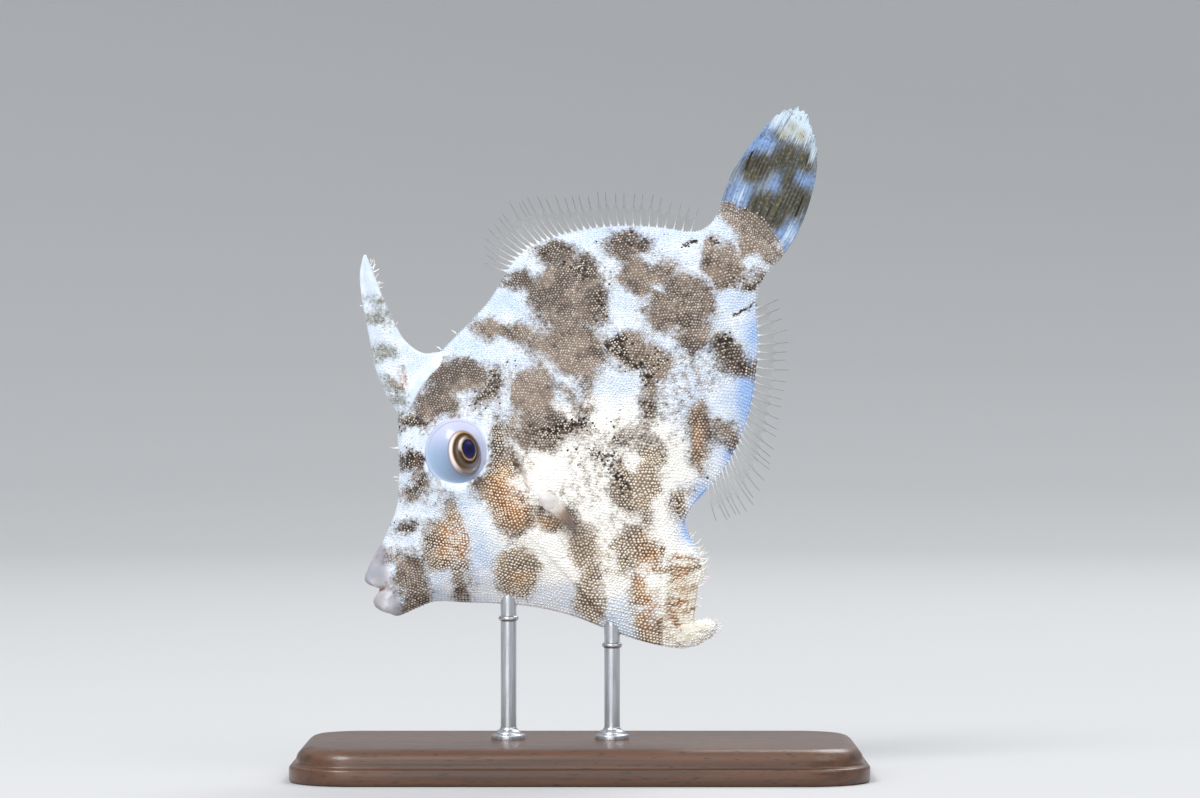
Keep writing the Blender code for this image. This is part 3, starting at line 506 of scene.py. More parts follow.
def markings(x, z, side):
    """The markings at places on one flank, each as a depth inside its ovals, with their edges made wavy."""
    px, py = photo_place(x, z)
    seed = 10 if side < 0 else 50
    warped = [
        place + sum(height * ripple(px, py, size, seed + i + j) for j, (size, height) in enumerate(WARPS))
        for i, place in enumerate((px, py))
    ]
    bare = -inside(*warped, BARE)
    brown = np.minimum(inside(*warped, PATCHES) + 2.5, bare)
    thin = soft_step(inside(px, py, FAINT), -5, 5)
    brown = brown - thin * np.maximum(brown - 3.2 - 1.6 * ripple(px, py, 8, seed + 9), 0)
    # On the flap's rear the brown runs in short dashes, up and rearward, between rows of cream.
    turn = math.radians(DASH_TURN)
    along, across = px * math.cos(turn) - py * math.sin(turn), px * math.sin(turn) + py * math.cos(turn)
    dashes = 7.0 * ripple(along * 0.4, across, 6.5, seed + 6) - 3.5
    dashed = inside(px, py, DASHES)
    brown = np.maximum(brown, np.minimum(dashed, dashes))
    pale = 5.0 * soft_step(inside(px, py, PALE), -4, 3)
    brown = brown - 7.0 * bump(line_distance(px, py, SEAM), 1.1) - pale
    wavy = px + 1.2 * ripple(px, py, 9, seed + 12), py + 1.2 * ripple(px, py, 9, seed + 13)
    brown = np.maximum(brown, stroked(*wavy, FLAP_STREAKS) + 2.5)
    marks = 2 * stroked(*wavy, STROKES)
    brown = np.maximum(brown, np.maximum(marks, stroked(px, py, RUST) + 0.5))
    # The veil is a fine mottling, at most half as deep as the patches.
    veil = np.minimum(4.0 * ripple(px, py, 11.0, seed + 8) + 2.0 * ripple(px, py, 4.0, seed + 11) - 1.2, 1.0)
    brown = np.maximum(brown, np.minimum(np.minimum(inside(*warped, MOTTLE) - 2.0, veil), bare - 1.0))
    shade = soft_step(inside(*warped, DARK), -9, 6) - 0.6 * soft_step(inside(*warped, LIGHT), -9, 6)
    return {
        "brown": brown,
        "pepper": np.maximum(inside(*warped, PEPPER), marks + 1.0),
        "ochre": inside(px, py, OCHRE),
        "dash": soft_step(dashed, -4, 4),
        "cloud": 0.6 * ripple(px, py, 22, seed + 5) + 0.45 * ripple(px, py, 8, seed + 14) + shade,
        "lip": lip_share(x, z),
        # Warmer white: the flap's own cream, and a painted pool of light on the belly's middle.
        "warm": soft_step(inside(px, py, WARM_AND_LIT) + 8 * ripple(px, py, 30, seed + 7), -20, 20),
        "bright": soft_step(inside(px, py, BRIGHT), -12, 12),
        # Painted bluish shade along the edges, the rear and the keel.
        "cool": 0.9 * soft_step(inside(px, py, COOL_SHADE), -10, 6) + 0.3 * soft_step(inside(px, py, CAST_SHADE), -12, 8),
    }


def lip_share(x, z):
    """1 on the smooth skin round the mouth, 0 on the granular skin behind it."""
    edge = LIP_BOUNDARY[0] + LIP_BOUNDARY[1] * z + 0.25 * np.sin(1.4 * z)
    return 1 - soft_step(x, edge - 0.7, edge + 0.5)


def edge_at(which, x):
    """The height of the back, or of the belly behind the vent, at each x, and its slope."""
    start, column = (0, 0) if which == "back" else (VENT_RIB, 2)
    rows = spline(RIBS, np.linspace(start, len(RIBS) - 1, CURVE_POINTS))
    slope = np.gradient(rows[:, column + 1], rows[:, column])
    return np.interp(x, rows[:, column], rows[:, column + 1]), np.interp(x, rows[:, column], slope)


def half_width(x, z):
    """Half the body's thickness at places on its flank: a smooth surface over the table of widths."""
    trunk = np.concatenate([RIBS[:PELVIS_RIB], RIBS[VENT_RIB:]])
    curve = spline(trunk, np.linspace(0, len(trunk) - 1, CURVE_POINTS))
    back, belly = edge_at("back", x)[0], np.interp(x, curve[:, 2], curve[:, 3])
    height = np.clip((z - belly) / (back - belly), 0, 1)
    row, row_weights = spline_weights(x / WIDTH_STEP, len(WIDTHS))
    column, column_weights = spline_weights(height * (WIDTHS.shape[1] - 1), WIDTHS.shape[1])
    table = padded(padded(WIDTHS).T).T
    return sum(
        row_weights[i] * column_weights[j] * table[row + i, column + j] for i in range(4) for j in range(4)
    )


def relief(x, z):
    """How far the skin stands above the plain flank: soft swellings, folds, the orbit and the gill slit."""
    from_eye = eye_distance(x, z)
    gill = line_distance(x, z, GILL_SLIT)
    px, py = photo_place(x, z)
    swell = 0.10 * ripple(x, z, 7, 3) + 0.035 * ripple(x, z, 2.2, 4)
    orbit = 0.30 * bump(from_eye - EYE_RADIUS - 0.9, 0.9) - 1.6 * (1 - soft_step(from_eye, 3.4, 4.3))
    slit = 0.28 * bump(gill - 0.75, 0.5) - 0.65 * bump(gill, 0.33)
    corner = -0.4 * bump(line_distance(x, z, GAPE_CORNER), 0.3)
    pits = sum(-0.5 * bump(np.hypot(x - a, z - b), 0.33) for a, b in NOSTRILS)
    cheek = 0.35 * np.exp(-(((x - 12) / 4) ** 2 + ((z + 5) / 4.5) ** 2))
    folds = 0.13 * ripple(x * 0.8 + z * 0.5, (z - x * 0.6) * 2.2, 2.4, 8)
    folds = folds * soft_step(inside(px, py, DASHES), -4, 4)
    fold, crease = line_distance(px, py, LIP_FOLD), line_distance(px, py, LIP_CREASE)
    lips = 0.16 * bump(fold, 2.6) - 0.14 * bump(crease, 1.5)
    return swell + orbit + slit + corner + pits + cheek + folds + lips


def flank(rib, share, side):
    """Points of the skin: on the rib at that parameter, at that share of its height from belly to back."""
    rows = spline(RIBS, rib)
    x = rows[..., 2] + (rows[..., 0] - rows[..., 2]) * share
    z = rows[..., 3] + (rows[..., 1] - rows[..., 3]) * share
    rounding = np.sqrt(np.clip(1 - np.abs(2 * share - 1) ** EDGE_POWER, 0, 1))
    wide = (half_width(x, z) + relief(x, z) * rounding) * rounding
    return np.stack([x, side * wide, z], axis=-1)


def flank_normals(rib, share, side):
    """Outward directions on the flank, from the cross product of its two slopes.

    The share is taken as a cosine, so that the slope stays finite where the flank turns over its edges.
    """
    angle = np.arccos(np.clip(2 * share - 1, -1, 1))
    step_rib, step_angle = 0.02, 0.01

    def at(r, a):
        # Past an edge the surface goes on down the other flank.
        return flank(np.clip(r, 0, len(RIBS) - 1), (1 + np.cos(a)) / 2, side * np.sign(np.sin(a)))

    along = at(rib + step_rib, angle) - at(rib - step_rib, angle)
    down = at(rib, angle + step_angle) - at(rib, angle - step_angle)
    return unit(np.cross(along, down)) * np.asarray(side)[..., None]


def grid(rows, columns, poles=False):
    """The numbers of a grid's points, row by row. With poles, its first and last rows are one point each."""
    numbers = np.arange(rows * columns).reshape(rows, columns)
    if poles:
        numbers[0], numbers[-1] = numbers[0, 0], numbers[-1, 0]
    return numbers


def triangles(numbers):
    """Two triangles for each cell of a grid of point numbers, which is closed round its columns.

    A row that has one number all along is a pole, and the triangles that it flattens are left out.
    """
    numbers = np.concatenate([numbers, numbers[:, :1]], axis=1)
    a, b, c, d = numbers[:-1, :-1], numbers[:-1, 1:], numbers[1:, 1:], numbers[1:, :-1]
    faces = np.concatenate([np.stack([a, b, c], -1).reshape(-1, 3), np.stack([a, c, d], -1).reshape(-1, 3)])
    flat = (faces[:, 0] == faces[:, 1]) | (faces[:, 1] == faces[:, 2]) | (faces[:, 0] == faces[:, 2])
    return faces[~flat]


def outward(points, faces):
    """The faces of closed surfaces, all turned over if they enclose less than nothing."""
    a, b, c = (points[faces[:, k]] for k in (0, 1, 2))
    return faces if np.einsum("ij,ij->i", a, np.cross(b, c)).sum() > 0 else faces[:, ::-1]


def unit(vectors):
    """The vectors, each brought to length 1."""
    return vectors / np.maximum(np.linalg.norm(vectors, axis=-1, keepdims=True), 1e-9)


def length_along(line):
    """The length of a line of points from its start to each of them."""
    return np.concatenate([[0], np.cumsum(np.linalg.norm(np.diff(line, axis=0), axis=1))])


def circle(count):
    """So many turns, evenly round a circle."""
    return np.linspace(0, 2 * np.pi, count, endpoint=False)


def tubes(paths, radii, sides):
    """Round tapered tubes, closed at both ends: paths is tubes x steps x 3, and radii tubes x steps."""
    count, steps = radii.shape
    along = unit(np.gradient(paths, axis=1))
    across = unit(np.cross(along, np.array([0.12, 1.0, 0.08])))
    other = np.cross(along, across)
    turn = circle(sides)
    ring = across[:, :, None] * np.cos(turn)[:, None] + other[:, :, None] * np.sin(turn)[:, None]
    points = paths[:, :, None] + radii[:, :, None, None] * ring
    points[:, 0], points[:, -1] = paths[:, :1], paths[:, -1:]
    faces = triangles(grid(steps, sides, poles=True))
    faces = faces[None] + steps * sides * np.arange(count)[:, None, None]
    return points.reshape(-1, 3), faces.reshape(-1, 3)


def sheet(middle, half):
    """A thin closed sheet about a grid of points, rows x columns x 3, half its thickness to each side."""
    rows, columns = middle.shape[:2]
    normal = unit(np.cross(np.gradient(middle, axis=0), np.gradient(middle, axis=1)))
    offset = normal * np.broadcast_to(half, (rows, columns))[..., None]
    points = np.concatenate([middle + offset, (middle - offset)[:, ::-1]], axis=1)
    numbers = grid(rows, 2 * columns)
    # The first and last rows close to an edge: each point there is also the one opposite.
    for row in (0, -1):
        points[row, :columns] = middle[row]
        numbers[row, columns:] = numbers[row, :columns][::-1]
    return points, triangles(numbers)


def new_piece(name, points, faces, finish, slot, values=None, maps=None, own_frame=True):
    """A smooth-shaded mesh object from points in millimetres, with its finish; its slot is not used.

    Values become attributes of its points, and maps its UV maps.
    """
    points = (to_part_frame(points) if own_frame else np.asarray(points, float)).reshape(-1, 3)
    used, faces = np.unique(faces, return_inverse=True)
    faces = outward(points[used], faces.reshape(-1, 3))
    mesh = bpy.data.meshes.new(name)
    mesh.vertices.add(len(used))
    mesh.vertices.foreach_set("co", (points[used] * MM).astype(np.float32).ravel())
    mesh.loops.add(faces.size)
    mesh.loops.foreach_set("vertex_index", faces.astype(np.int32).ravel())
    mesh.polygons.add(len(faces))
    mesh.polygons.foreach_set("loop_start", np.arange(0, faces.size, 3, dtype=np.int32))
    mesh.update(calc_edges=True)
    mesh.validate()
    mesh.shade_smooth()
    for key, value in (values or {}).items():
        layer = mesh.attributes.new(key, "FLOAT", "POINT")
        layer.data.foreach_set("value", np.asarray(value, np.float32).ravel()[used])
    for key, place in (maps or {}).items():
        corners = np.asarray(place, np.float32).reshape(-1, 2)[used][faces.ravel()]
        mesh.uv_layers.new(name=key).data.foreach_set("uv", corners.ravel())
    mesh.materials.append(finish)
    obj = bpy.data.objects.new(name, mesh)
    bpy.context.scene.collection.objects.link(obj)
    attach(obj, "root")
    return obj


def add_node(tree, kind, inputs=None, output=0, **settings):
    """A shader node with its settings, and inputs: numbers, hex colours or other nodes' outputs."""
    node = tree.nodes.new(f"ShaderNode{kind}")
    for key, value in settings.items():
        if key == "stops":
            ramp = node.color_ramp
            while len(ramp.elements) < len(value):
                ramp.elements.new(0.5)
            for element, (place, code) in zip(ramp.elements, value):
                element.position, element.color = place, linear(code)
        else:
            setattr(node, key, value)
    for key, value in (inputs or {}).items():
        if isinstance(value, bpy.types.NodeSocket):
            tree.links.new(value, node.inputs[key])
        else:
            node.inputs[key].default_value = linear(value) if isinstance(value, str) else value
    return node.outputs[output]


# Settings that several nodes share: a smooth ramp, a mix of two colours, and a mark's own attribute.
RAMP = {"interpolation_type": "SMOOTHSTEP"}
BLEND = {"data_type": "RGBA", "output": 2}
MARK = {"output": "Fac"}


def new_finish(name, **shader_values):
    """A material with one Principled shader, whose sockets take these values, and its node tree."""
    made = bpy.data.materials.new(name)
    made.use_nodes = True
    shader = made.node_tree.nodes["Principled BSDF"]
    for key, value in shader_values.items():
        value = linear(value) if isinstance(value, str) else value
        shader.inputs[key.replace("_", " ")].default_value = value
    return made, made.node_tree


def finished(made, **outputs):
    """The material, with these outputs of its nodes led to its shader's sockets."""
    tree = made.node_tree
    for key, value in outputs.items():
        tree.links.new(value, tree.nodes["Principled BSDF"].inputs[key.replace("_", " ")])
    return made


def shares(tree, rows):
    """Shares of marks, by rows of (mark, shift, low, high, most).

    A share rises smoothly from 0 to most as the mark's depth inside its ovals, plus the shift, goes from
    low to high.
    """
    made = {}
    for key, shift, low, high, most in rows:
        depth = add_node(tree, "Attribute", attribute_name=key, **MARK)
        depth = add_node(tree, "Math", {0: depth, 1: shift}, operation="ADD")
        ends = {"Value": depth, "From Min": low, "From Max": high, "To Max": most}
        made[key] = add_node(tree, "MapRange", ends, **RAMP)
    return made


def painted(tree, jitter, white, brown, ochre, black):
    """The flank's colours at a place: white, then brown patches, ochre flush and black pepper over it."""
    share = shares(tree, (
        ("brown", jitter, -4.5, 6.0, 1.0), ("ochre", 0.0, -10.0, 9.0, 0.85),
        ("pepper", jitter, -1.5, 5.0, 1.0),
    ))
    tone = add_node(tree, "Mix", {0: share["ochre"], 6: brown, 7: ochre}, **BLEND)
    colour = add_node(tree, "Mix", {0: share["brown"], 6: white, 7: tone}, **BLEND)
    return add_node(tree, "Mix", {0: share["pepper"], 6: colour, 7: black}, **BLEND)


def skin_finish(name="granular_fish_skin", light_brown="#8a796b", dark_brown="#4a3f38"):
    """Filefish skin, cast and painted: matte, bluish white, with brown patches broken up grain by grain."""
    made, tree = new_finish(name, Roughness=0.6, Specular_IOR_Level=0.3)
    here = add_node(tree, "TexCoord", output="Object")
    fine = add_node(tree, "TexNoise", {"Vector": here, "Scale": 1 / (0.45 * MM), "Detail": 1.0})
    coarse = add_node(tree, "TexNoise", {"Vector": here, "Scale": 1 / (2.4 * MM), "Detail": 3.0})
    jitter = add_node(tree, "MapRange", {"Value": fine, "To Min": -7.0, "To Max": 7.0})
    share = {
        key: add_node(tree, "Attribute", attribute_name=key, **MARK)
        for key in ("cloud", "warm", "cool", "dash", "fold", "lip", "slit")
    }
    cloud = add_node(tree, "Math", {0: coarse, 1: 1.4, 2: share["cloud"]}, operation="MULTIPLY_ADD")
    cloud = add_node(tree, "MapRange", {"Value": cloud, "From Min": -0.3, "From Max": 1.6}, **RAMP)
    pale = add_node(tree, "MapRange", {"Value": coarse, "From Min": 0.35, "From Max": 0.7}, **RAMP)
    white, brown, ochre, lip = (
        add_node(tree, "Mix", {0: by, 6: first, 7: second}, **BLEND) for by, first, second in (
            (pale, "#cbd7e6", "#e4eaf1"), (cloud, light_brown, dark_brown), (cloud, "#a66d38", "#744624"),
            (pale, "#9799a4", "#aea9ab"),
        )
    )
    # A painted highlight lightens the lips along their raised fold.
    lip = add_node(tree, "Mix", {0: share["fold"], 6: lip, 7: "#d0d0d6"}, **BLEND)
    # The white is painted warmer on the flap and, as a pool of painted light, on the belly's middle; bluish
    # as painted shade along the edges and keel.
    for key, over in (("warm", "#fdfaf4"), ("cool", "#9dbbe8"), ("dash", "#dcd6c6"), ("lip", lip)):
        white = add_node(tree, "Mix", {0: share[key], 6: white, 7: over}, **BLEND)
    colour = painted(tree, jitter, white, brown, ochre, "#2a211c")
    # Painted shade darkens the gill slit, nostril pits, gape corner and lip crease.
    colour = add_node(tree, "Mix", {0: share["slit"], 6: colour, 7: "#84604d"}, **BLEND)
    bump = add_node(tree, "Bump", {"Strength": 0.5, "Distance": 0.08 * MM, "Height": fine})
    return finished(made, Base_Color=colour, Normal=bump)


def granule_finish(name="skin_granules", dark_cream="#9d9186", light_cream="#e2dbd2"):
    """The tips of the grains that roughen the skin: white on white, cream to gold over the brown patches.

    Each grain has a lightness of its own, between the two ends of its tone.
    """
    made, tree = new_finish(name, Roughness=0.5, Specular_IOR_Level=0.35)
    share = {
        key: add_node(tree, "Attribute", attribute_name=key, **MARK)
        for key in ("grain", "warm", "bright", "cool", "dash", "cloud")
    }
    white, cream, dim, vivid, streak, gold = (
        add_node(tree, "Mix", {0: share["grain"], 6: dark, 7: light}, **BLEND) for dark, light in (
            ("#d0dbea", "#f0f4f9"), (dark_cream, light_cream), ("#7d7269", "#cbc3ba"), ("#dccdb4", "#fff7e8"),
            ("#93694a", "#cfae8c"), ("#e9cba2", "#fff3de"),
        )
    )
    shade = add_node(tree, "MapRange", {"Value": share["cloud"], "From Min": -1.0, "From Max": 1.0}, **RAMP)
    # The white grains are painted warmer on the flap and, as a pool of painted light, on the belly's middle;
    # bluish as painted shade along the edges and keel.
    for by, over in ((share["warm"], "#fffdf8"), (share["cool"], "#abc6ee"), (share["dash"], "#e9e4d8")):
        white = add_node(tree, "Mix", {0: by, 6: white, 7: over}, **BLEND)
    for by, over in ((shade, dim), (share["bright"], vivid), (share["dash"], streak)):
        cream = add_node(tree, "Mix", {0: by, 6: cream, 7: over}, **BLEND)
    # Over black pepper, single grains stay light.
    lone = add_node(tree, "MapRange", {"Value": share["grain"], "From Min": 0.40, "From Max": 0.5}, **RAMP)
    black = add_node(tree, "Mix", {0: lone, 6: "#2c231e", 7: "#e2d6c6"}, **BLEND)
    return finished(made, Base_Color=painted(tree, 0.0, white, cream, gold, black))


def bristle_finish():
    """Skin filaments, drawn from clear resin: near white, a little see-through, glossy at the tips."""
    made, tree = new_finish("skin_bristles", Roughness=0.4, Subsurface_Weight=0.15, Subsurface_Scale=0.3 * MM)
    here = add_node(tree, "TexCoord", output="Object")
    tone = add_node(tree, "TexNoise", {"Vector": here, "Scale": 1 / (1.5 * MM)})
    colour = add_node(tree, "ValToRGB", {"Fac": tone}, stops=((0.35, "#d8d2c0"), (0.6, "#fbfcff")))
    return finished(made, Base_Color=colour)


def eye_finish():
    """A glass eye, painted from behind: pale blue ball, rosy gold iris with an olive ring, navy pupil, and
    light and shade painted over them.
    """
    made, tree = new_finish(
        "painted_glass_eye", Roughness=0.3, Specular_IOR_Level=0.15, Coat_Weight=0.35, Coat_Roughness=0.12
    )
    here = add_node(tree, "TexCoord", output="Object")
    mottle = add_node(tree, "TexNoise", {"Vector": here, "Scale": 1 / (0.5 * MM), "Detail": 3.0})
    ring = add_node(tree, "Attribute", attribute_name="ring", **MARK)
    shift = add_node(tree, "MapRange", {"Value": mottle, "To Min": -0.012, "To Max": 0.012})
    ring = add_node(tree, "Math", {0: ring, 1: shift}, operation="ADD")
    colour = add_node(tree, "ValToRGB", {"Fac": ring}, stops=(
        (0.0, "#04031a"), (0.09, "#0c0a4a"), (0.117, "#07040c"), (0.125, "#ab9068"), (0.132, "#6f5638"),
        (0.155, "#33271d"), (0.20, "#5e4b39"), (0.236, "#463729"), (0.256, "#5f4836"), (0.285, "#6b5a4c"),
        (0.318, "#8f8180"), (0.340, "#7f8aa0"), (0.42, "#7d90ac"), (0.60, "#93a6c0"), (0.67, "#b9c5d8"),
        (0.72, "#d3dae9"), (0.85, "#dde3ef"), (1.0, "#d3dae9"),
    ))
    # Light and shade are painted into the dome as if light falls from one side: rosy to the snout, gilt on
    # top, dusky behind, a painted glint by the pupil, and the ball tinted lilac on top and to the rear and
    # blue towards the snout.
    for key, tint in (("dusky", "#77747d"), ("gilt", "#a98048"), ("rosy", "#f3e0d8"), ("flash", "#e6dcd6"),
                      ("snow", "#92abcb"), ("lilac", "#bfc0d8")):
        share = add_node(tree, "Attribute", attribute_name=key, **MARK)
        colour = add_node(tree, "Mix", {0: share, 6: colour, 7: tint}, **BLEND)
    return finished(made, Base_Color=colour)


def ray_finish():
    """Soft fin rays, cast in clear resin over wire: bone white at the foot, smoky towards the tip."""
    made, tree = new_finish("clear_resin_fin_rays", Roughness=0.35, Alpha=0.9)
    reach = add_node(tree, "Attribute", attribute_name="reach", **MARK)
    here = add_node(tree, "TexCoord", output="Object")
    tone = add_node(tree, "TexNoise", {"Vector": here, "Scale": 1 / (0.8 * MM), "Detail": 1.0})
    place = add_node(tree, "Math", {0: tone, 1: 0.3, 2: reach}, operation="MULTIPLY_ADD")
    stops = (0.15, "#f1f4fa"), (0.4, "#c2c3c4"), (1.0, "#7b7c7f")
    return finished(made, Base_Color=add_node(tree, "ValToRGB", {"Fac": place}, stops=stops))


def web_finish():
    """Fin skin between the rays, a film of clear resin: see-through, faintly olive, wet gloss."""
    made, tree = new_finish(
        "clear_resin_fin_web", Roughness=0.15, Alpha=0.10, Coat_Weight=0.5, Coat_Roughness=0.1
    )
    here = add_node(tree, "TexCoord", output="Object")
    tone = add_node(tree, "TexNoise", {"Vector": here, "Scale": 1 / (2.0 * MM), "Detail": 2.0})
    colour = add_node(tree, "ValToRGB", {"Fac": tone}, stops=((0.3, "#77776f"), (0.7, "#9da09d")))
    return finished(made, Base_Color=colour)


def breast_fin_finish():
    """The breast fin, cast in milky resin and tinted: fleshy white at its root, tan and clear at its edge."""
    made, tree = new_finish("milky_resin_breast_fin", Roughness=0.3, Coat_Weight=0.4, Coat_Roughness=0.15)
    reach = add_node(tree, "Attribute", attribute_name="reach", **MARK)
    here = add_node(tree, "TexCoord", output="Object")
    tone = add_node(tree, "TexNoise", {"Vector": here, "Scale": 1 / (0.7 * MM), "Detail": 2.0})
    place = add_node(tree, "Math", {0: tone, 1: 0.3, 2: reach}, operation="MULTIPLY_ADD")
    colour = add_node(tree, "ValToRGB", {"Fac": place}, stops=(
        (0.1, "#d9d6d6"), (0.4, "#cbc3bb"), (0.62, "#a38e7c"), (0.85, "#7c6250"), (1.0, "#5e4a3d"),
    ))
    ends = {"Value": place, "From Min": 0.3, "From Max": 1.1, "To Min": 0.95, "To Max": 0.35}
    return finished(made, Base_Color=colour, Alpha=add_node(tree, "MapRange", ends, **RAMP))


def tail_finish():
    """The tail fin, a ribbed resin sheet: pale blue, painted in olive and cream streaks along its rays."""
    made, tree = new_finish(
        "painted_resin_tail", Roughness=0.5, Specular_IOR_Level=0.25, Coat_Weight=0.08, Coat_Roughness=0.2
    )
    place = add_node(tree, "UVMap", uv_map="along_rays")
    here = add_node(tree, "TexCoord", output="Object")
    # Streaks are as wide as half a ray, about 0.4 mm, and some 5 mm long.
    streak = add_node(tree, "Mapping", {"Vector": place, "Scale": (46.0, 4.0, 1.0)})
    streak = add_node(tree, "TexNoise", {"Vector": streak, "Scale": 1.0, "Detail": 2.0})
    broad = add_node(tree, "Mapping", {"Vector": place, "Scale": (7.0, 2.2, 1.0)})
    broad = add_node(tree, "TexNoise", {"Vector": broad, "Scale": 1.0, "Detail": 1.0})
    fine = add_node(tree, "TexNoise", {"Vector": here, "Scale": 1 / (0.45 * MM), "Detail": 1.0})
    jitter = add_node(tree, "MapRange", {"Value": fine, "To Min": -7.0, "To Max": 7.0})
    ends = {"Value": streak, "From Min": 0.25, "From Max": 0.75, "To Min": -6.0, "To Max": 6.0}
    shift = add_node(tree, "MapRange", ends)
    share = shares(tree, (
        ("olive", shift, -5.0, 5.0, 1.0), ("cream", shift, -4.0, 6.0, 1.0), ("blue", shift, -8.0, 6.0, 1.0),
        ("gold", 0.0, -5.0, 4.0, 0.7), ("skin", jitter, -3.0, 3.0, 1.0),
    ))
    slit, crest = (add_node(tree, "Attribute", attribute_name=key, **MARK) for key in ("slit", "crest"))
    # The rays are jointed every 0.4 mm or so, which crosses the streaks with light and dark flecks.
    joints = {"Vector": here, "Scale": 1 / (0.4 * MM), "Detail": 2.0, "Roughness": 0.6}
    joints = add_node(tree, "TexNoise", joints)
    # The joints give their own light flecks and dark pits; the groove share is painted shade in the hollows
    # between the ribs.
    fleck, pit, groove = (
        add_node(tree, "MapRange", {"Value": by, "From Min": low, "From Max": high, "To Max": most}, **RAMP)
        for by, low, high, most in (
            (joints, 0.5, 0.75, 0.22), (joints, 0.48, 0.28, 0.5), (crest, 0.35, 0.0, 0.35)
        )
    )
    base = ((0.3, "#4b5158"), (0.5, "#6a7480"), (0.7, "#8f9aa7"))
    base = add_node(tree, "ValToRGB", {"Fac": broad}, stops=base)
    dark = ((0.36, "#242015"), (0.5, "#3b3724"), (0.64, "#575237"))
    dark = add_node(tree, "ValToRGB", {"Fac": streak}, stops=dark)
    hide = painted(tree, jitter, "#dfe6f1", "#6f6257", "#8e6844", "#2a211c")
    colour = base
    for by, over in (
        (share["blue"], "#7896c4"), (share["olive"], dark), (share["cream"], "#c3d3df"),
        (share["gold"], "#8f8455"), (fleck, "#b3bfca"), (pit, "#33322c"), (groove, "#474a52"),
        (share["skin"], hide), (slit, "#0c0a0a"),
    ):
        colour = add_node(tree, "Mix", {0: by, 6: colour, 7: over}, **BLEND)
    bump = add_node(tree, "Bump", {"Strength": 0.4, "Distance": 0.06 * MM, "Height": streak})
    return finished(made, Base_Color=colour, Normal=bump)


def wood_finish():
    """Beech, planed, stained dark and lacquered: long grain along the slab, short flecks, satin shine."""
    made, tree = new_finish("stained_beech", Roughness=0.38, Coat_Weight=0.35, Coat_Roughness=0.22)
    here = add_node(tree, "TexCoord", output="Object")
    rings = add_node(tree, "Mapping", {"Vector": here, "Scale": (0.045, 1.0, 1.0)})
    rings = {"Vector": rings, "Scale": 1 / (2.2 * MM), "Detail": 4.0, "Distortion": 0.3}
    rings = add_node(tree, "TexNoise", rings)
    pores = add_node(tree, "Mapping", {"Vector": here, "Scale": (0.16, 1.0, 1.0)})
    pores = add_node(tree, "TexNoise", {"Vector": pores, "Scale": 1 / (0.3 * MM), "Detail": 1.0})
    fleck = {"Value": pores, "From Min": 0.62, "From Max": 0.7, "To Max": 0.6}
    fleck = add_node(tree, "MapRange", fleck, **RAMP)
    stain = ((0.3, "#3a2417"), (0.5, "#5b3a25"), (0.68, "#4a2d1c"))
    colour = add_node(tree, "ValToRGB", {"Fac": rings}, stops=stain)
    colour = add_node(tree, "Mix", {0: fleck, 6: colour, 7: "#22140c"}, **BLEND)
    rough = add_node(tree, "MapRange", {"Value": pores, "To Min": 0.32, "To Max": 0.5})
    bump = {"Strength": 0.25, "Distance": 0.04 * MM, "Height": fleck}
    bump = add_node(tree, "Bump", bump, invert=True)
    return finished(made, Base_Color=colour, Roughness=rough, Normal=bump)


def steel_finish():
    """Stainless steel, turned and brushed along the rod: grey, with fine upright scratches."""
    made, tree = new_finish("brushed_steel", Metallic=1.0, Roughness=0.3)
    here = add_node(tree, "TexCoord", output="Object")
    lines = add_node(tree, "Mapping", {"Vector": here, "Scale": (1.0, 1.0, 0.03)})
    # Real scratches are about 0.02 mm wide: these are as coarse as the picture needs.
    lines = add_node(tree, "TexNoise", {"Vector": lines, "Scale": 1 / (0.12 * MM), "Detail": 2.0})
    colour = add_node(tree, "ValToRGB", {"Fac": lines}, stops=((0.3, "#a9abb0"), (0.7, "#cfd1d5")))
    rough = add_node(tree, "MapRange", {"Value": lines, "To Min": 0.22, "To Max": 0.42})
    bump = add_node(tree, "Bump", {"Strength": 0.3, "Distance": 0.01 * MM, "Height": lines})
    return finished(made, Base_Color=colour, Roughness=rough, Normal=bump)


def stalk_end(share, turn, side):
    """The tail stalk's end: from the last rib, a quarter ellipse in to the tail fin's root, by its turn."""
    last = flank(np.full(np.shape(share), len(RIBS) - 1.0), share, side)
    reach = TAIL_CAP_REACH * np.sin(turn) * (1 - 0.6 * (2 * share - 1) ** 2)
    return np.stack([last[..., 0] + reach, last[..., 1] * np.cos(turn), last[..., 2] + 0 * reach], axis=-1)


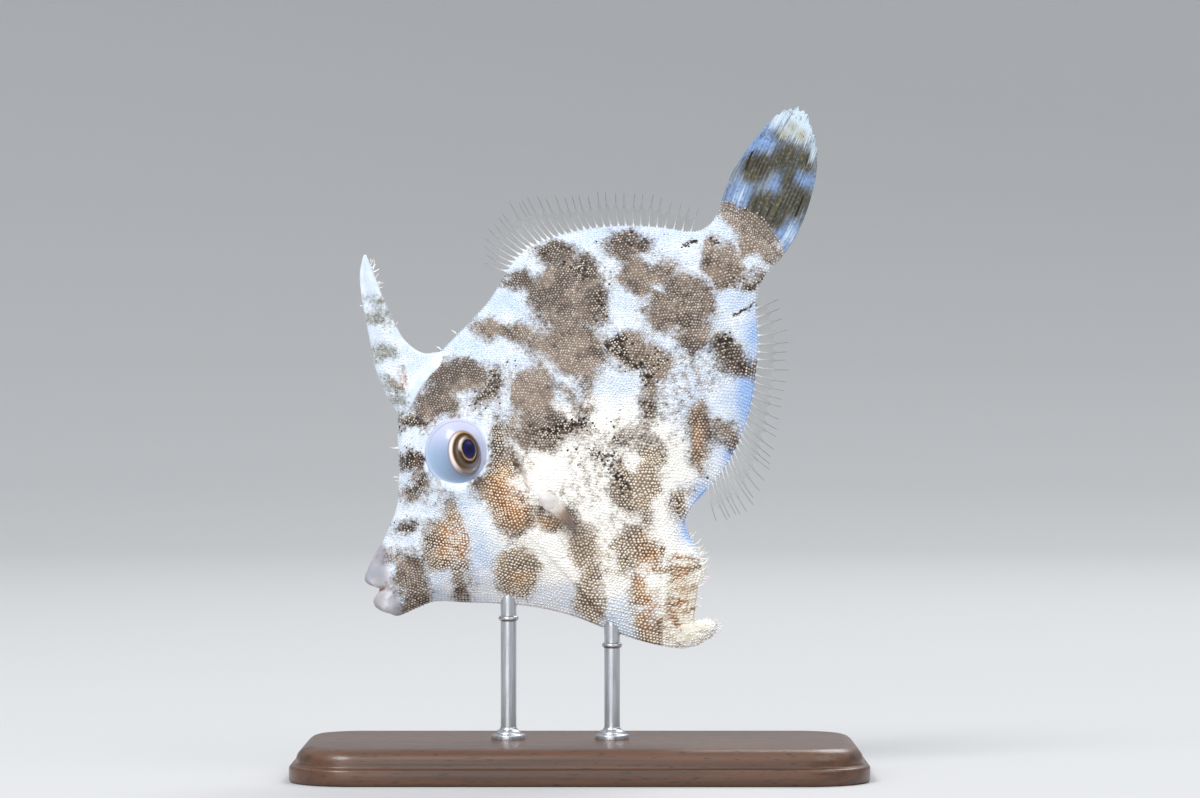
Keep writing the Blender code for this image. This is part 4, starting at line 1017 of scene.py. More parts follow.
def make_skin(finish):
    """One closed skin over head, trunk, flap and tail stalk.

    Its rings run from the back down the left flank and up the right. In front, the first ring is drawn
    on to the mouth's profile by a quarter ellipse, and behind, the last one narrows to the tail's root.
    """
    down = np.arange(FLANK_POINTS) / (FLANK_POINTS - 1)
    share = 1 - 0.65 * down - 0.35 * (1 - np.cos(np.pi * down)) / 2
    share = np.concatenate([share, share[-2:0:-1]])
    side = np.concatenate([np.full(FLANK_POINTS, -1.0), np.ones(FLANK_POINTS - 2)])
    ribs = np.linspace(0, len(RIBS) - 1, BODY_RINGS)
    body = flank(np.repeat(ribs[:, None], len(share), 1), np.tile(share, (BODY_RINGS, 1)), side)
    # The corners of the mouth draw the skin in towards the gape.
    from_gape = share - GAPE_SHARE
    body[..., 0] += GAPE_DEPTH * bump(from_gape, 0.05) * np.exp(-ribs / 0.5)[:, None]

    # The mouth's profile is part straight from point to point, part rounded.
    profile = np.stack([np.interp(share, MOUTH[::-1, 0], MOUTH[::-1, k]) for k in (1, 2)], axis=-1)
    rounded = spline(MOUTH[:, 1:], np.interp(share, MOUTH[::-1, 0], np.arange(len(MOUTH))[::-1]))
    profile = 0.3 * profile + 0.7 * rounded
    turn = np.linspace(np.pi / 2, 0, SNOUT_RINGS, endpoint=False)[:, None]
    first = body[0]
    plump = 1 + 0.16 * np.sin(turn * 2) * (1 - 1.6 * bump(from_gape, 0.06))
    front = np.stack([
        first[:, 0] + (profile[:, 0] - first[:, 0]) * np.sin(turn),
        first[:, 1] * np.cos(turn) * plump,
        first[:, 2] + (profile[:, 1] - first[:, 2]) * np.sin(turn),
    ], axis=-1)

    rear = stalk_end(share, np.linspace(0, np.pi / 2, TAIL_CAP_RINGS + 1)[1:, None], side)

    points = np.concatenate([front, body, rear])
    numbers = grid(*points.shape[:2])
    # At both ends the two flanks meet, so the right one's points there are the left one's.
    for row in (0, -1):
        numbers[row, FLANK_POINTS:] = numbers[row, FLANK_POINTS - 2 : 0 : -1]
    values = two_sided(points[..., 0], points[..., 2], side)
    obj = new_piece("skin", points, triangles(numbers), finish, "skin", values)
    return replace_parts(obj, "head", "trunk", "pelvic_flap", "caudal_peduncle")


def two_sided(x, z, side):
    """The markings of both flanks, each place taking its own side's, the painted shade in the gill slit,
    nostril pits, gape corner and lip crease, and a painted highlight along the lip's fold.
    """
    left, right = markings(x, z, -1), markings(x, z, 1)
    values = {key: np.where(side < 0, left[key], right[key]) for key in left}
    px, py = photo_place(x, z)
    # Painted shade: the gill slit, the nostril pits, the gape's corner and the lip's crease are darkened.
    slit = 0.7 * bump(line_distance(x, z, GILL_SLIT), 0.22)
    slit += sum(bump(np.hypot(x - a, z - b), 0.3) for a, b in NOSTRILS)
    slit += 0.8 * bump(line_distance(x, z, GAPE_CORNER), 0.2)
    slit += 0.45 * bump(line_distance(px, py, LIP_CREASE), 1.2)
    values["slit"] = np.clip(slit, 0, 1)
    # A painted highlight along the raised fold round the lips.
    values["fold"] = bump(line_distance(px, py, LIP_FOLD), 6.0)
    return values


def rib_table():
    """Many ribs, evenly by parameter: parameters, belly points (x, z), and runs (x, z) up to the back."""
    at = np.linspace(0, len(RIBS) - 1, FAN_RIBS)
    rows = spline(RIBS, at)
    return at, rows[:, 2:], rows[:, :2] - rows[:, 2:]


def rib_and_share(x, z):
    """The rib and height share of places on the flank, and whether two ribs hold them between them."""
    at, foot, run = rib_table()
    ahead = run[:, 0] * (z[:, None] - foot[:, 1]) - run[:, 1] * (x[:, None] - foot[:, 0])
    after = np.argmax(ahead > 0, axis=1)
    held = after > 0
    after = np.maximum(after, 1)
    rows = np.arange(len(x))
    low, high = ahead[rows, after - 1], ahead[rows, after]
    f = np.clip(-low / np.maximum(high - low, 1e-9), 0, 1)
    rib = at[after - 1] + f * (at[1] - at[0])
    foot, run = (v[after - 1] + f[:, None] * (v[after] - v[after - 1]) for v in (foot, run))
    share = ((x - foot[:, 0]) * run[:, 0] + (z - foot[:, 1]) * run[:, 1]) / np.einsum("ij,ij->i", run, run)
    return rib, share, held & (share > 0) & (share < 1)


def edge_arcs(edge):
    """How far over the skin each small angle of a rib stands from the back or belly edge, rib by rib.

    Also the edge's own arc length, and the sine of the angle at which each rib meets it.
    """
    at, foot, run = rib_table()
    angle = np.linspace(0, 1.4, 80)
    share = (1 + np.cos(angle) * (1 if edge == "back" else -1)) / 2
    points = flank(np.repeat(at[:, None], len(angle), 1), np.tile(share, (len(at), 1)), -1.0)
    step = np.linalg.norm(np.diff(points, axis=1), axis=-1)
    arcs = np.concatenate([np.zeros((len(at), 1)), np.cumsum(step, axis=1)], axis=1)
    line = foot + run if edge == "back" else foot
    along, up = unit(np.gradient(line, axis=0)), unit(run)
    sine = np.abs(along[:, 0] * up[:, 1] - along[:, 1] * up[:, 0])
    return angle, arcs, length_along(line), np.clip(sine, 0.3, 1)


def spacing_at(x, z):
    """The granules' spacing, which grows with the distance from a point far above the back."""
    return GRAIN_SPACING * np.hypot(x - GRAIN_CENTRE[0], z - GRAIN_CENTRE[1]) / GRAIN_REACH


def lattice(draw):
    """Places of a triangular lattice laid round a far point: its rows are arcs, s being its spacing's share.

    Row i has radius exp(0.866 s i) and its points stand s apart in angle.
    """
    step = GRAIN_SPACING / GRAIN_REACH
    radius = np.exp(np.arange(np.log(120), np.log(190), step * ROW_STEP))
    angle = np.arange(-0.03, 0.54, step)
    angle = angle[None] + step / 2 * (np.arange(len(radius)) % 2)[:, None]
    x = (GRAIN_CENTRE[0] + radius[:, None] * np.sin(angle)).ravel()
    z = (GRAIN_CENTRE[1] - radius[:, None] * np.cos(angle)).ravel()
    keep = (x > -2) & (x < 74) & (z > -40) & (z < 21)
    x, z = x[keep], z[keep]
    # A slow waviness bends the rows, and each granule is a little out of line.
    x, z = x + 0.25 * ripple(x, z, 6, 61), z + 0.25 * ripple(x, z, 6, 62)
    jitter = draw.normal(0, 0.1, len(x)), draw.normal(0, 0.1, len(z))
    return x + jitter[0] * spacing_at(x, z), z + jitter[1] * spacing_at(x, z)


def coat_places(side):
    """The rib and share of every granule on one flank: rows along both edges, and a lattice between."""
    draw = np.random.default_rng(5 if side < 0 else 6)
    rib, share, held = rib_and_share(*lattice(draw))
    rib, share = rib[held], share[held]
    at = rib_table()[0]
    ribs, shares, keep = [], [], np.ones(len(rib), bool)
    for edge, sign, spacing in (("back", 1, 0.4), ("belly", -1, 0.47)):
        angle, arcs, length, sine = edge_arcs(edge)
        index = np.clip(np.round(rib / at[1]).astype(int), 0, len(at) - 1)
        own = np.arccos(np.clip(sign * (2 * share - 1), -1, 1))
        place = np.minimum(own / angle[1], len(angle) - 1.001)
        low = place.astype(int)
        away = arcs[index, low] + (place - low) * (arcs[index, low + 1] - arcs[index, low])
        own_spacing = spacing_at(*np.moveaxis(flank(rib, share, side)[:, ::2], -1, 0))
        keep &= away * sine[index] > (EDGE_ROWS - 0.45) * ROW_STEP * own_spacing
        # The row on the edge itself belongs to the left flank.
        for row in range(0 if side < 0 else 1, EDGE_ROWS):
            at_length = np.arange(0.5 * (row % 2) * spacing, length[-1], spacing)
            at_length += draw.normal(0, 0.08 * spacing, len(at_length))
            own_rib = np.interp(at_length, length, at)
            index = np.clip(np.round(own_rib / at[1]).astype(int), 0, len(at) - 1)
            reach = row * ROW_STEP * spacing / sine[index]
            after = np.clip(np.argmax(arcs[index] >= reach[:, None], axis=1), 1, len(angle) - 1)
            rows = np.arange(len(index))
            low, high = arcs[index][rows, after - 1], arcs[index][rows, after]
            turn = angle[after - 1] + (reach - low) / np.maximum(high - low, 1e-9) * angle[1]
            ribs.append(own_rib)
            shares.append((1 + sign * np.cos(turn)) / 2)
    return np.concatenate([rib[keep], *ribs]), np.concatenate([share[keep], *shares]), draw


def granules(roots, normals, radius, height, lean, draw, stretch=None):
    """Small five-sided grains: a ring round each root between a sunk foot and a raised tip.

    Point k of the ring is the root + radius (cos, sin of 72 k degrees) in the skin's plane. The tip stands
    the height along the normal and leans, and a stretch draws the ring out along a direction in the skin.
    """
    count = len(roots)
    first = unit(np.cross(normals, np.array([0.3, 0.2, 1.0])))
    second = np.cross(normals, first)
    turn = 2 * np.pi * (np.arange(5) / 5 + draw.uniform(0, 1, count)[:, None])
    ring = np.cos(turn)[..., None] * first[:, None] + np.sin(turn)[..., None] * second[:, None]
    ring = radius[:, None, None] * ring
    if stretch is not None:
        ring = ring + np.einsum("ijk,ik->ij", ring, unit(stretch))[..., None] * stretch[:, None]
    tip = roots + normals * height[:, None] + lean * height[:, None]
    foot = roots - normals * 0.5 * height[:, None]
    points = np.concatenate([foot[:, None], roots[:, None] + ring, tip[:, None]], axis=1)
    around = np.arange(5)
    after = (around + 1) % 5
    one = np.concatenate([
        np.stack([1 + around, 1 + after, 0 * around + GRAIN_POINTS - 1], -1),
        np.stack([1 + after, 1 + around, 0 * around], -1),
    ])
    return points.reshape(-1, 3), (one[None] + GRAIN_POINTS * np.arange(count)[:, None, None]).reshape(-1, 3)


def bake_patch(place, draw, count):
    """For each piece of a coat, a patch about 0.003 across at its root's place on the skin's unwrap."""
    return place[:, None] + draw.uniform(-0.0015, 0.0015, (len(place), count, 2))


def coat_unwrap(rib, share):
    """The skin's own unwrap: the share of the mid-line's length up to a rib, and the height share there."""
    at, foot, run = rib_table()
    length = length_along(foot + run / 2)
    return np.stack([0.02 + 0.96 * np.interp(rib, at, length / length[-1]), 0.02 + 0.96 * share], axis=-1)


def coat_piece(name, finish, roots, normals, sizes, lean, draw, mark, place, spreads=(), stretch=None):
    """One piece of the coat: its granules, each of one tone, with their places on the skin's unwrap.

    The sizes are the grains' radius and height, and the spreads (mark, how much it varies grain by grain).
    """
    points, faces = granules(roots, normals, *sizes, lean, draw, stretch)
    values = {key: mark[key] for key in COAT_MARKS}
    for key, spread in spreads:
        values[key] = values[key] + draw.normal(0, spread, len(roots))
    values["grain"] = draw.beta(1.6, 1.8, len(roots))
    values = {key: np.repeat(value, GRAIN_POINTS) for key, value in values.items()}
    patches = bake_patch(place, draw, GRAIN_POINTS)
    return new_piece(name, points, faces, finish, "skin", values, {"OFBake": patches})


def make_granules(side, finish):
    """The granules of one flank, left out on the lips, the eye, the gill slit and the breast fin's root."""
    rib, share, draw = coat_places(side)
    roots = flank(rib, share, side)
    x, z = roots[:, 0], roots[:, 2]
    from_eye = eye_distance(x, z)
    keep = (lip_share(x, z) < 0.35) & (from_eye > EYE_CLEARANCE) & (line_distance(x, z, GILL_SLIT) > 0.4)
    keep &= (line_distance(x, z, GAPE_CORNER) > 0.7) & (line_distance(x, z, BREAST_FIN_ROOT) > 0.5)
    rib, share, roots, x, z, from_eye = (v[keep] for v in (rib, share, roots, x, z, from_eye))
    count = len(x)
    normals = flank_normals(rib, share, np.full(count, float(side)))
    mark = markings(x, z, side)
    spacing = spacing_at(x, z) * (1 + 0.1 * mark["dash"])
    size = (1 - 0.6 * mark["lip"]) * (1 - 0.35 * np.exp(-((from_eye - EYE_CLEARANCE) / 0.6)))
    radius = 0.37 * (1 + 0.1 * mark["bright"] - 0.4 * mark["dash"]) * spacing * size
    radius = radius * draw.uniform(0.82, 1.18, count)
    height = 0.30 * (1 - 0.4 * mark["dash"]) * spacing * size * draw.uniform(0.75, 1.25, count)
    # In the flap's dashes the grains are drawn out along them.
    turn = np.radians(draw.normal(DASH_TURN, 12, count)) - PITCH
    mark["dash"] = np.clip(mark["dash"] + draw.normal(0, 0.15, count), 0, 1)
    stretch = np.stack([np.cos(turn), 0 * turn, np.sin(turn)], axis=-1) * (1.9 * mark["dash"])[:, None] + 1e-6
    return coat_piece(
        "granules_left" if side < 0 else "granules_right", finish, roots, normals, (radius, height),
        np.array([0.55, 0.0, -0.15]), draw, mark, coat_unwrap(rib, share),
        (("brown", 1.6), ("pepper", 5.0)), stretch,
    )


def spine_surface(level, turn):
    """The back spine at a level, 0 foot to 6 tip, and a turn round its section from the front edge.

    A section runs (1 - cos turn) / 2 of the way from its front edge to its rear. Half its thickness is the
    rod's, less the square of that share, but at least the web's, times sin turn. Under level 0 it goes
    straight down into the back and widens.
    """
    rows = spline(SPINE_RIBS, np.maximum(level, 0))
    share = (1 - np.cos(turn)) / 2
    edge = rows[..., 0:2] * (1 - share[..., None]) + rows[..., 2:4] * share[..., None]
    seat = edge_at("back", edge[..., 0])[0]
    edge[..., 1] += (seat - 0.1 - edge[..., 1]) * np.clip(1 - level / 1.2, 0, 1) ** 3
    edge[..., 1] -= SPINE_SINK * np.maximum(-level, 0)
    rod = rows[..., 4] * np.clip(1 - (share / SPINE_ROD_SHARE) ** 2, 0, 1)
    web = rows[..., 5] * (1 + 1.6 * np.exp(-(np.maximum(level, 0) / 0.35)))
    wide = (rod**3 + web**3) ** (1 / 3) * np.sign(np.sin(turn)) * np.abs(np.sin(turn)) ** 0.75
    groove = 1 - 0.12 * bump(share - 0.68, 0.06)
    return np.stack([edge[..., 0], wide * groove, edge[..., 1]], axis=-1)


def spine_foot_pallor(x, z):
    """How much the brown gives way on the spine's web, behind its foot, in pixels of depth."""
    return 9.0 * soft_step(photo_place(x, z)[0], 408, 416)


def make_spine(finish):
    """The spine's skin as a grid of sections, closed at the tip and down inside the back."""
    level = np.concatenate([np.linspace(-1, 0, 8)[:-1], np.linspace(0, 6, 150)])
    levels, turns = np.meshgrid(level, circle(72), indexing="ij")
    points = spine_surface(levels, turns)
    for row in (0, -1):
        points[row] = points[row].mean(axis=0)
    faces = triangles(grid(*levels.shape, poles=True))
    values = two_sided(points[..., 0], points[..., 2], -np.sin(turns))
    values["brown"] = values["brown"] - spine_foot_pallor(points[..., 0], points[..., 2])
    obj = new_piece("dorsal_spine_skin", points, faces, finish, "skin", values)
    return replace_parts(obj, "dorsal_spine")


def make_spine_granules(finish):
    """Fine granules over the back spine, in rings about 0.4 mm apart, coarser in two rows down its front."""
    draw = np.random.default_rng(15)
    level = np.arange(0.25, 5.95, 0.075)
    turn = np.linspace(0.12, np.pi - 0.1, 20)
    level, turn = np.meshgrid(level, np.concatenate([turn, -turn]), indexing="ij")
    turn = turn + 0.075 * (np.arange(len(level)) % 2)[:, None] * np.sign(turn)
    level = (level + draw.normal(0, 0.012, level.shape)).ravel()
    turn = (turn + draw.normal(0, 0.012, turn.shape)).ravel()
    roots = spine_surface(level, turn)
    step = 0.02
    along = spine_surface(level + step, turn) - spine_surface(level - step, turn)
    around = spine_surface(level, turn + step) - spine_surface(level, turn - step)
    normals = unit(np.cross(along, around))
    # The normals point away from the middle plane, read half way round each section.
    middle = spine_surface(level, 0 * turn + 1e-3 + np.pi / 2) * [1, 0, 1]
    normals *= np.sign(np.einsum("ij,ij->i", normals, roots - middle))[:, None]
    width = np.linalg.norm(around, axis=1) / (2 * step)
    radius = np.clip(0.055 * width, 0.04, 0.12) * draw.uniform(0.8, 1.2, len(level))
    mark = markings(roots[:, 0], roots[:, 2], -1) | {"dash": 0 * level}
    mark["brown"] = mark["brown"] - spine_foot_pallor(roots[:, 0], roots[:, 2])
    place = np.stack([0.02 + 0.16 * level, (turn / (2 * np.pi)) % 1], axis=-1)
    return coat_piece(
        "granules_spine", finish, roots, normals, (radius, radius), np.array([0.3, 0.0, 0.5]), draw, mark,
        place, (("brown", 1.8),),
    )


# The hook at the flap's end, as a path in the photograph's pixels and its half height in millimetres.
HOOK_PATH = ((662, 624), (678, 633), (691, 634.5), (701, 631), (709, 628), (716, 626.5))
HOOK_RADII = (1.7, 1.9, 1.65, 1.4, 1.2, 0.8)
# Half thickness over half height: least at its root, which lies within the flap.
HOOK_FLATNESS = (0.25, 0.3, 0.42, 0.55, 0.6, 0.6)
# How much paler than the flap's markings it is, in pixels of depth.
HOOK_PALER = 7.0


def hook_curve(at):
    """The hook's middle line, its half height and its flatness, at shares of its length."""
    place = spline(np.array(HOOK_PATH, float), at * (len(HOOK_PATH) - 1))
    x, z = own_place(place[..., 0], place[..., 1])
    radius, flat = spline(np.array([HOOK_RADII, HOOK_FLATNESS]).T, at * (len(HOOK_RADII) - 1)).T
    return np.stack([x, 0 * x, z], axis=-1), radius * np.sqrt(np.clip(1.06 - at**8, 0, 1)), flat


def hook_markings(x, z):
    """The flap's markings on the hook, paler."""
    mark = markings(x, z, -1)
    return mark | {"brown": mark["brown"] - HOOK_PALER}


def make_hook(finish):
    """The hook that ends the flap: a bent, flattened horn that grows out of the skin."""
    path, radius, flat = hook_curve(np.linspace(0, 1, 60))
    points, faces = tubes(path[None], radius[None], 40)
    points[:, 1] *= np.interp(points[:, 0], path[:, 0], flat)
    points[:, 1] += 0.06 * ripple(points[:, 0], points[:, 2], 1.6, 33) * np.sign(points[:, 1])
    x, z = points[:, 0], points[:, 2]
    values = hook_markings(x, z) | {"slit": 0 * x, "fold": 0 * x}
    return new_piece("pelvic_hook", points, faces, finish, "skin", values)


def make_hook_granules(finish):
    """Coarse, pointed granules over the hook, at a random turn round each of many places along its path."""
    draw = np.random.default_rng(19)
    at, turn = draw.uniform(0.06, 1.0, 620), draw.uniform(0, 2 * np.pi, 620)
    path, radius, flat = hook_curve(at)
    along = unit(hook_curve(np.minimum(at + 0.01, 1))[0] - hook_curve(at - 0.01)[0])
    up = np.stack([-along[:, 2], 0 * at, along[:, 0]], axis=-1)
    level = np.array([0.0, 1.0, 0.0])
    roots = path + radius[:, None] * (np.cos(turn)[:, None] * up + (flat * np.sin(turn))[:, None] * level)
    normals = unit((flat * np.cos(turn))[:, None] * up + np.sin(turn)[:, None] * level)
    size = draw.uniform(0.10, 0.19, len(at))
    mark = hook_markings(roots[:, 0], roots[:, 2]) | {"dash": 0 * at + 0.35}
    place = np.stack([0.02 + 0.96 * at, turn / (2 * np.pi)], axis=-1)
    lean = 0.5 * along + 0.3 * up
    return coat_piece("granules_hook", finish, roots, normals, (size, 1.2 * size), lean, draw, mark, place)


# Bristles, in the photograph's pixels: the flap's rear edge that clumps of them stand along, the clumps
# as (share of the edge, spread, count), and single ones as (x, y, turn in degrees, length in millimetres).
BRISTLE_EDGE = ((687, 528), (691, 540), (700, 553), (703.5, 570), (701, 585), (696, 602), (695, 614))
BRISTLE_CLUMPS = ((0.17, 0.04, 8), (0.32, 0.03, 12), (0.42, 0.05, 16), (0.58, 0.05, 12), (0.78, 0.08, 7))
LONE_BRISTLES = (
    (369.5, 266, 50, 1.3), (372.5, 270, 60, 1.5), (373, 272, 20, 1.0), (374.5, 279, 55, 1.1),
    (375, 283, 5, 1.4), (376.5, 286, 20, 0.9), (378, 288, -10, 0.7), (371, 268, 30, 0.9),
    (376, 284.5, 35, 0.8), (380, 301, 20, 0.4), (370.5, 262, 80, 0.5), (362, 306, 170, 0.4),
    (441, 350, 125, 0.9), (456, 334, 120, 0.9), (398.5, 449, 165, 1.3), (398.5, 447, 190, 0.9),
    (397.5, 477, 175, 0.7), (397.5, 481, 160, 0.5), (396, 324, 40, 0.4),
)
BRISTLE_STEPS, BRISTLE_SIDES = 5, 4


def bristle_roots(draw):
    """Feet, turns and lengths of the skin's bristles, and how far they stand out to one side.

    They stand in clumps along the flap's rear edge and over the hook, and singly on the spine, brow and back.
    """
    edge = np.array(BRISTLE_EDGE, float)
    share = np.concatenate([draw.normal(*clump) for clump in BRISTLE_CLUMPS])
    share = np.clip(share, 0.02, 0.98)
    count = len(share)
    clumps = (
        spline(edge, share * (len(edge) - 1)) + draw.normal(0, 0.6, (count, 2)) - (1.5, 0),
        draw.normal(25, 22, count), draw.uniform(0.6, 1.5, count), draw.uniform(-0.5, 0.5, count),
    )
    count = 44
    path, radius = hook_curve(draw.uniform(0.55, 1.0, count))[:2]
    turn = np.radians(draw.uniform(-60, 150, count))
    px, py = photo_place(path[:, 0], path[:, 2])
    reach = radius / PIXEL * 0.8
    hook = (
        np.stack([px + reach * np.cos(turn), py - reach * np.sin(turn)], -1),
        np.degrees(turn) + draw.normal(0, 15, count), draw.uniform(0.35, 0.9, count),
        draw.uniform(-0.5, 0.5, count),
    )
    lone = np.array(LONE_BRISTLES)
    lone = lone[:, :2], lone[:, 2], lone[:, 3], draw.uniform(-0.2, 0.2, len(lone))
    return (np.concatenate(columns) for columns in zip(clumps, hook, lone))


def make_bristles(finish):
    """Fine white bristles, each a tapered four-sided tube bent a little upwards."""
    draw = np.random.default_rng(21)
    feet, turn, length, depth = bristle_roots(draw)
    x, z = own_place(feet[:, 0], feet[:, 1])
    turn = np.radians(turn) - PITCH
    out = np.stack([np.cos(turn), depth * 0.8, np.sin(turn)], axis=-1)
    bend = np.stack([-np.sin(turn), draw.normal(0, 0.3, len(turn)), np.cos(turn)], axis=-1)
    bend = bend * draw.normal(0.2, 0.2, len(turn))[:, None]
    reach = np.linspace(-0.2, 1, BRISTLE_STEPS)[:, None]
    start = np.stack([x, depth * 0.6, z], axis=-1)
    paths = start[:, None] + length[:, None, None] * (out[:, None] * reach + bend[:, None] * reach**2)
    radii = np.linspace(0.095, 0.035, BRISTLE_STEPS)[None] * draw.uniform(0.8, 1.3, len(x))[:, None]
    points, faces = tubes(paths, radii, BRISTLE_SIDES)
    place = np.stack([(x + 5) / 90, (z + 45) / 90], axis=-1)
    patches = bake_patch(place, draw, BRISTLE_STEPS * BRISTLE_SIDES)
    return new_piece("bristles", points, faces, finish, "skin", None, {"OFBake": patches})


# The eye in its own plane: iris and pupil as ellipses, their middles off the eye's, in millimetres.
IRIS = {"middle": (0.66, -0.68), "half": (2.24, 3.25)}
PUPIL = {"middle": (1.55, -0.63), "half": (0.95, 1.48)}
EYE_LONG_AXIS = math.radians(60)
# The rings at which pupil, iris and ball end.
PUPIL_RING, IRIS_RING, BALL_RING = 0.36, 1.0, 2.0
# How far out from the middle plane the ball's edge stands, the ball's rise over it, and the skirt's foot.
EYE_EDGE_HEIGHT = 5.05
EYE_RISE = 1.75
EYE_FOOT = 2.6


def make_eye(name, node, side, finish):
    """An eye as rings drawn between ellipses, numbered p from 0 at the pupil's middle.

    The iris ends at p = 1 and the ball at 2, and up to 3 a pale rim goes over and down into the skin. The
    ball rises by 1 - r^2 over its edge, and the iris is raised and dished on it by bumps of p.
    """
    turn = circle(112)
    rings = [np.linspace(0, 1, 64), np.linspace(1, 2, 26)[1:], np.linspace(2, 3, 18)[1:]]
    rings = np.concatenate(rings)[:, None]
    main, cross = (np.array([math.cos(a), math.sin(a)]) for a in (EYE_LONG_AXIS - math.pi / 2, EYE_LONG_AXIS))

    def ellipse(middle, half):
        around = half[0] * np.cos(turn)[:, None] * main + half[1] * np.sin(turn)[:, None] * cross
        return np.array(middle) + around

    pupil, iris, out = ellipse(**PUPIL), ellipse(**IRIS), ellipse((0, 0), (1, 1))
    tall = EYE_TALLNESS * np.array([math.sin(PITCH), math.cos(PITCH)])
    wide = np.array([math.cos(PITCH), -math.sin(PITCH)])
    ball = EYE_RADIUS * ((out @ wide)[..., None] * wide + (out @ (tall / EYE_TALLNESS))[..., None] * tall)
    inner = np.clip(rings / PUPIL_RING, 0, 1)[..., None]
    middle = np.clip((rings - PUPIL_RING) / (IRIS_RING - PUPIL_RING), 0, 1)[..., None]
    outer = np.clip(rings - IRIS_RING, 0, 1)[..., None]
    over = np.clip(rings - BALL_RING, 0, 1)
    flat = np.array(PUPIL["middle"]) + (pupil - PUPIL["middle"]) * inner + (iris - pupil) * middle
    flat = flat + (ball - iris) * outer + ball * over[..., None] * 0.15
    away = eye_distance(EYE[0] + flat[..., 0], EYE[2] + flat[..., 1]) / EYE_RADIUS
    high = EYE_EDGE_HEIGHT + EYE_RISE * np.clip(1 - away**2, 0, 1)
    snoutward = 0.5 - 0.5 * (flat[..., 0] - IRIS["middle"][0]) / 2.6
    high += (0.16 + 0.22 * snoutward) * bump(rings - 0.86, 0.09)
    high -= 0.24 * bump(rings - 0.60, 0.14, 4) + 0.16 * (1 - soft_step(rings, 0.27, 0.36))
    high += 0.10 * bump(rings - 0.40, 0.035)
    high += 0.05 * np.sin(np.pi * np.clip(over / 0.75, 0, 1)) - 1.3 * np.clip((over - 0.6) / 0.4, 0, 1) ** 1.5
    points = np.stack([EYE[0] + flat[..., 0], side * high, EYE[2] + flat[..., 1]], axis=-1)
    # The first ring is one point, and below the last one the skirt is drawn to a point deep in the head.
    numbers = grid(*points.shape[:2])
    numbers[0] = numbers[0, 0]
    numbers = np.concatenate([numbers, np.full((1, len(turn)), points[..., 0].size)])
    foot = np.array([[EYE[0], side * EYE_FOOT, EYE[2]]])

    # The finish's colour rings, and shares of the colours that lie to one side: across and up are read from
    # the iris's middle, as in the photograph.
    ring = np.broadcast_to(np.interp(rings, (0, 1, 2, 3), (0, 0.34, 0.7, 1.0)), away.shape)
    across, up = upright(flat[..., 0] - IRIS["middle"][0], flat[..., 1] - IRIS["middle"][1])
    far = np.hypot(across, up) + 1e-6
    across, up = across / far, up / far
    to_rear, aloft = (way / EYE_RADIUS for way in upright(flat[..., 0], flat[..., 1]))
    rear, below = soft_step(across, 0.0, 0.8), soft_step(-up, 0.4, 0.95)
    white = ring > 0.34

    def between_rings(low, high):
        return soft_step(ring, low - 0.018, low + 0.012) - soft_step(ring, high - 0.012, high + 0.018)

    # Painted light and shade over the eye: gilt on top and behind and below the pupil, rosy to the snout,
    # dusky behind and below, a painted glint at the pupil's upper left, and the white tinted lilac on top and
    # to the rear and blue towards the snout.
    gilt = 0.75 * soft_step(up, 0.3, 0.9) * between_rings(0.27, 0.328)
    values = {
        "ring": ring,
        "rosy": soft_step(-across, 0.0, 0.8) * between_rings(0.272, 0.319),
        "gilt": gilt + 0.4 * np.maximum(rear, below) * between_rings(0.119, 0.129),
        "flash": 0.85 * soft_step(up, 0.4, 0.9) * soft_step(-across, -0.3, 0.3) * between_rings(0.14, 0.178),
        "dusky": 0.8 * rear * between_rings(0.185, 0.335) + 0.6 * below * between_rings(0.28, 0.335),
        "snow": 0.75 * soft_step(-to_rear, -0.25, 1.0) * white,
        "lilac": np.maximum(0.8 * soft_step(aloft, -0.2, 0.9), 0.7 * soft_step(to_rear, 0.2, 0.9)) * white,
    }
    values = {key: np.append(value.ravel(), 0.0) for key, value in values.items()}
    points = np.concatenate([points.reshape(-1, 3), foot])
    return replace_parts(new_piece(name, points, triangles(numbers), finish, "eye", values), node)


def fan_rays(roots, tips, sway, steps, bulge=0.0):
    """The paths of a fin's rays, rays x steps x 3: straight from root to tip but for sway and bulge.

    At reach r a ray stands off the fin's plane by sway r^1.4, and off its own line, along the root, by
    bulge sin(pi r), forward for the first ray and rearward for the last.
    """
    reach = np.linspace(0, 1, steps)
    paths = roots[:, None] + (tips - roots)[:, None] * reach[:, None]
    paths[..., 1] += sway[:, None] * reach**SWAY_POWER
    lean = np.linspace(-1, 1, len(roots))[:, None] * np.sin(np.pi * reach)
    return paths + bulge * lean[..., None] * unit(np.gradient(roots, axis=0))[:, None]


def make_rays(name, node, rays, radii, finish):
    """A fin's rays as thin tubes, each point with its reach from 0 at the foot to 1 at the tip."""
    points, faces = tubes(rays, radii, RAY_SIDES)
    reach = np.tile(np.repeat(np.linspace(0, 1, rays.shape[1]), RAY_SIDES), len(rays))
    bars = new_piece(f"{name}_rays", points, faces, finish, "clear_fin", {"reach": reach})
    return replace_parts(bars, node)


def between(table, row, column):
    """A table of points read between its rows and columns, by straight shares of the four neighbours."""
    i = np.clip(np.floor(row).astype(int), 0, table.shape[0] - 2)
    j = np.clip(np.floor(column).astype(int), 0, table.shape[1] - 2)
    f, g = (row - i)[..., None], (column - j)[..., None]
    near = (1 - g) * table[i, j] + g * table[i, j + 1]
    return (1 - f) * near + f * ((1 - g) * table[i + 1, j] + g * table[i + 1, j + 1])


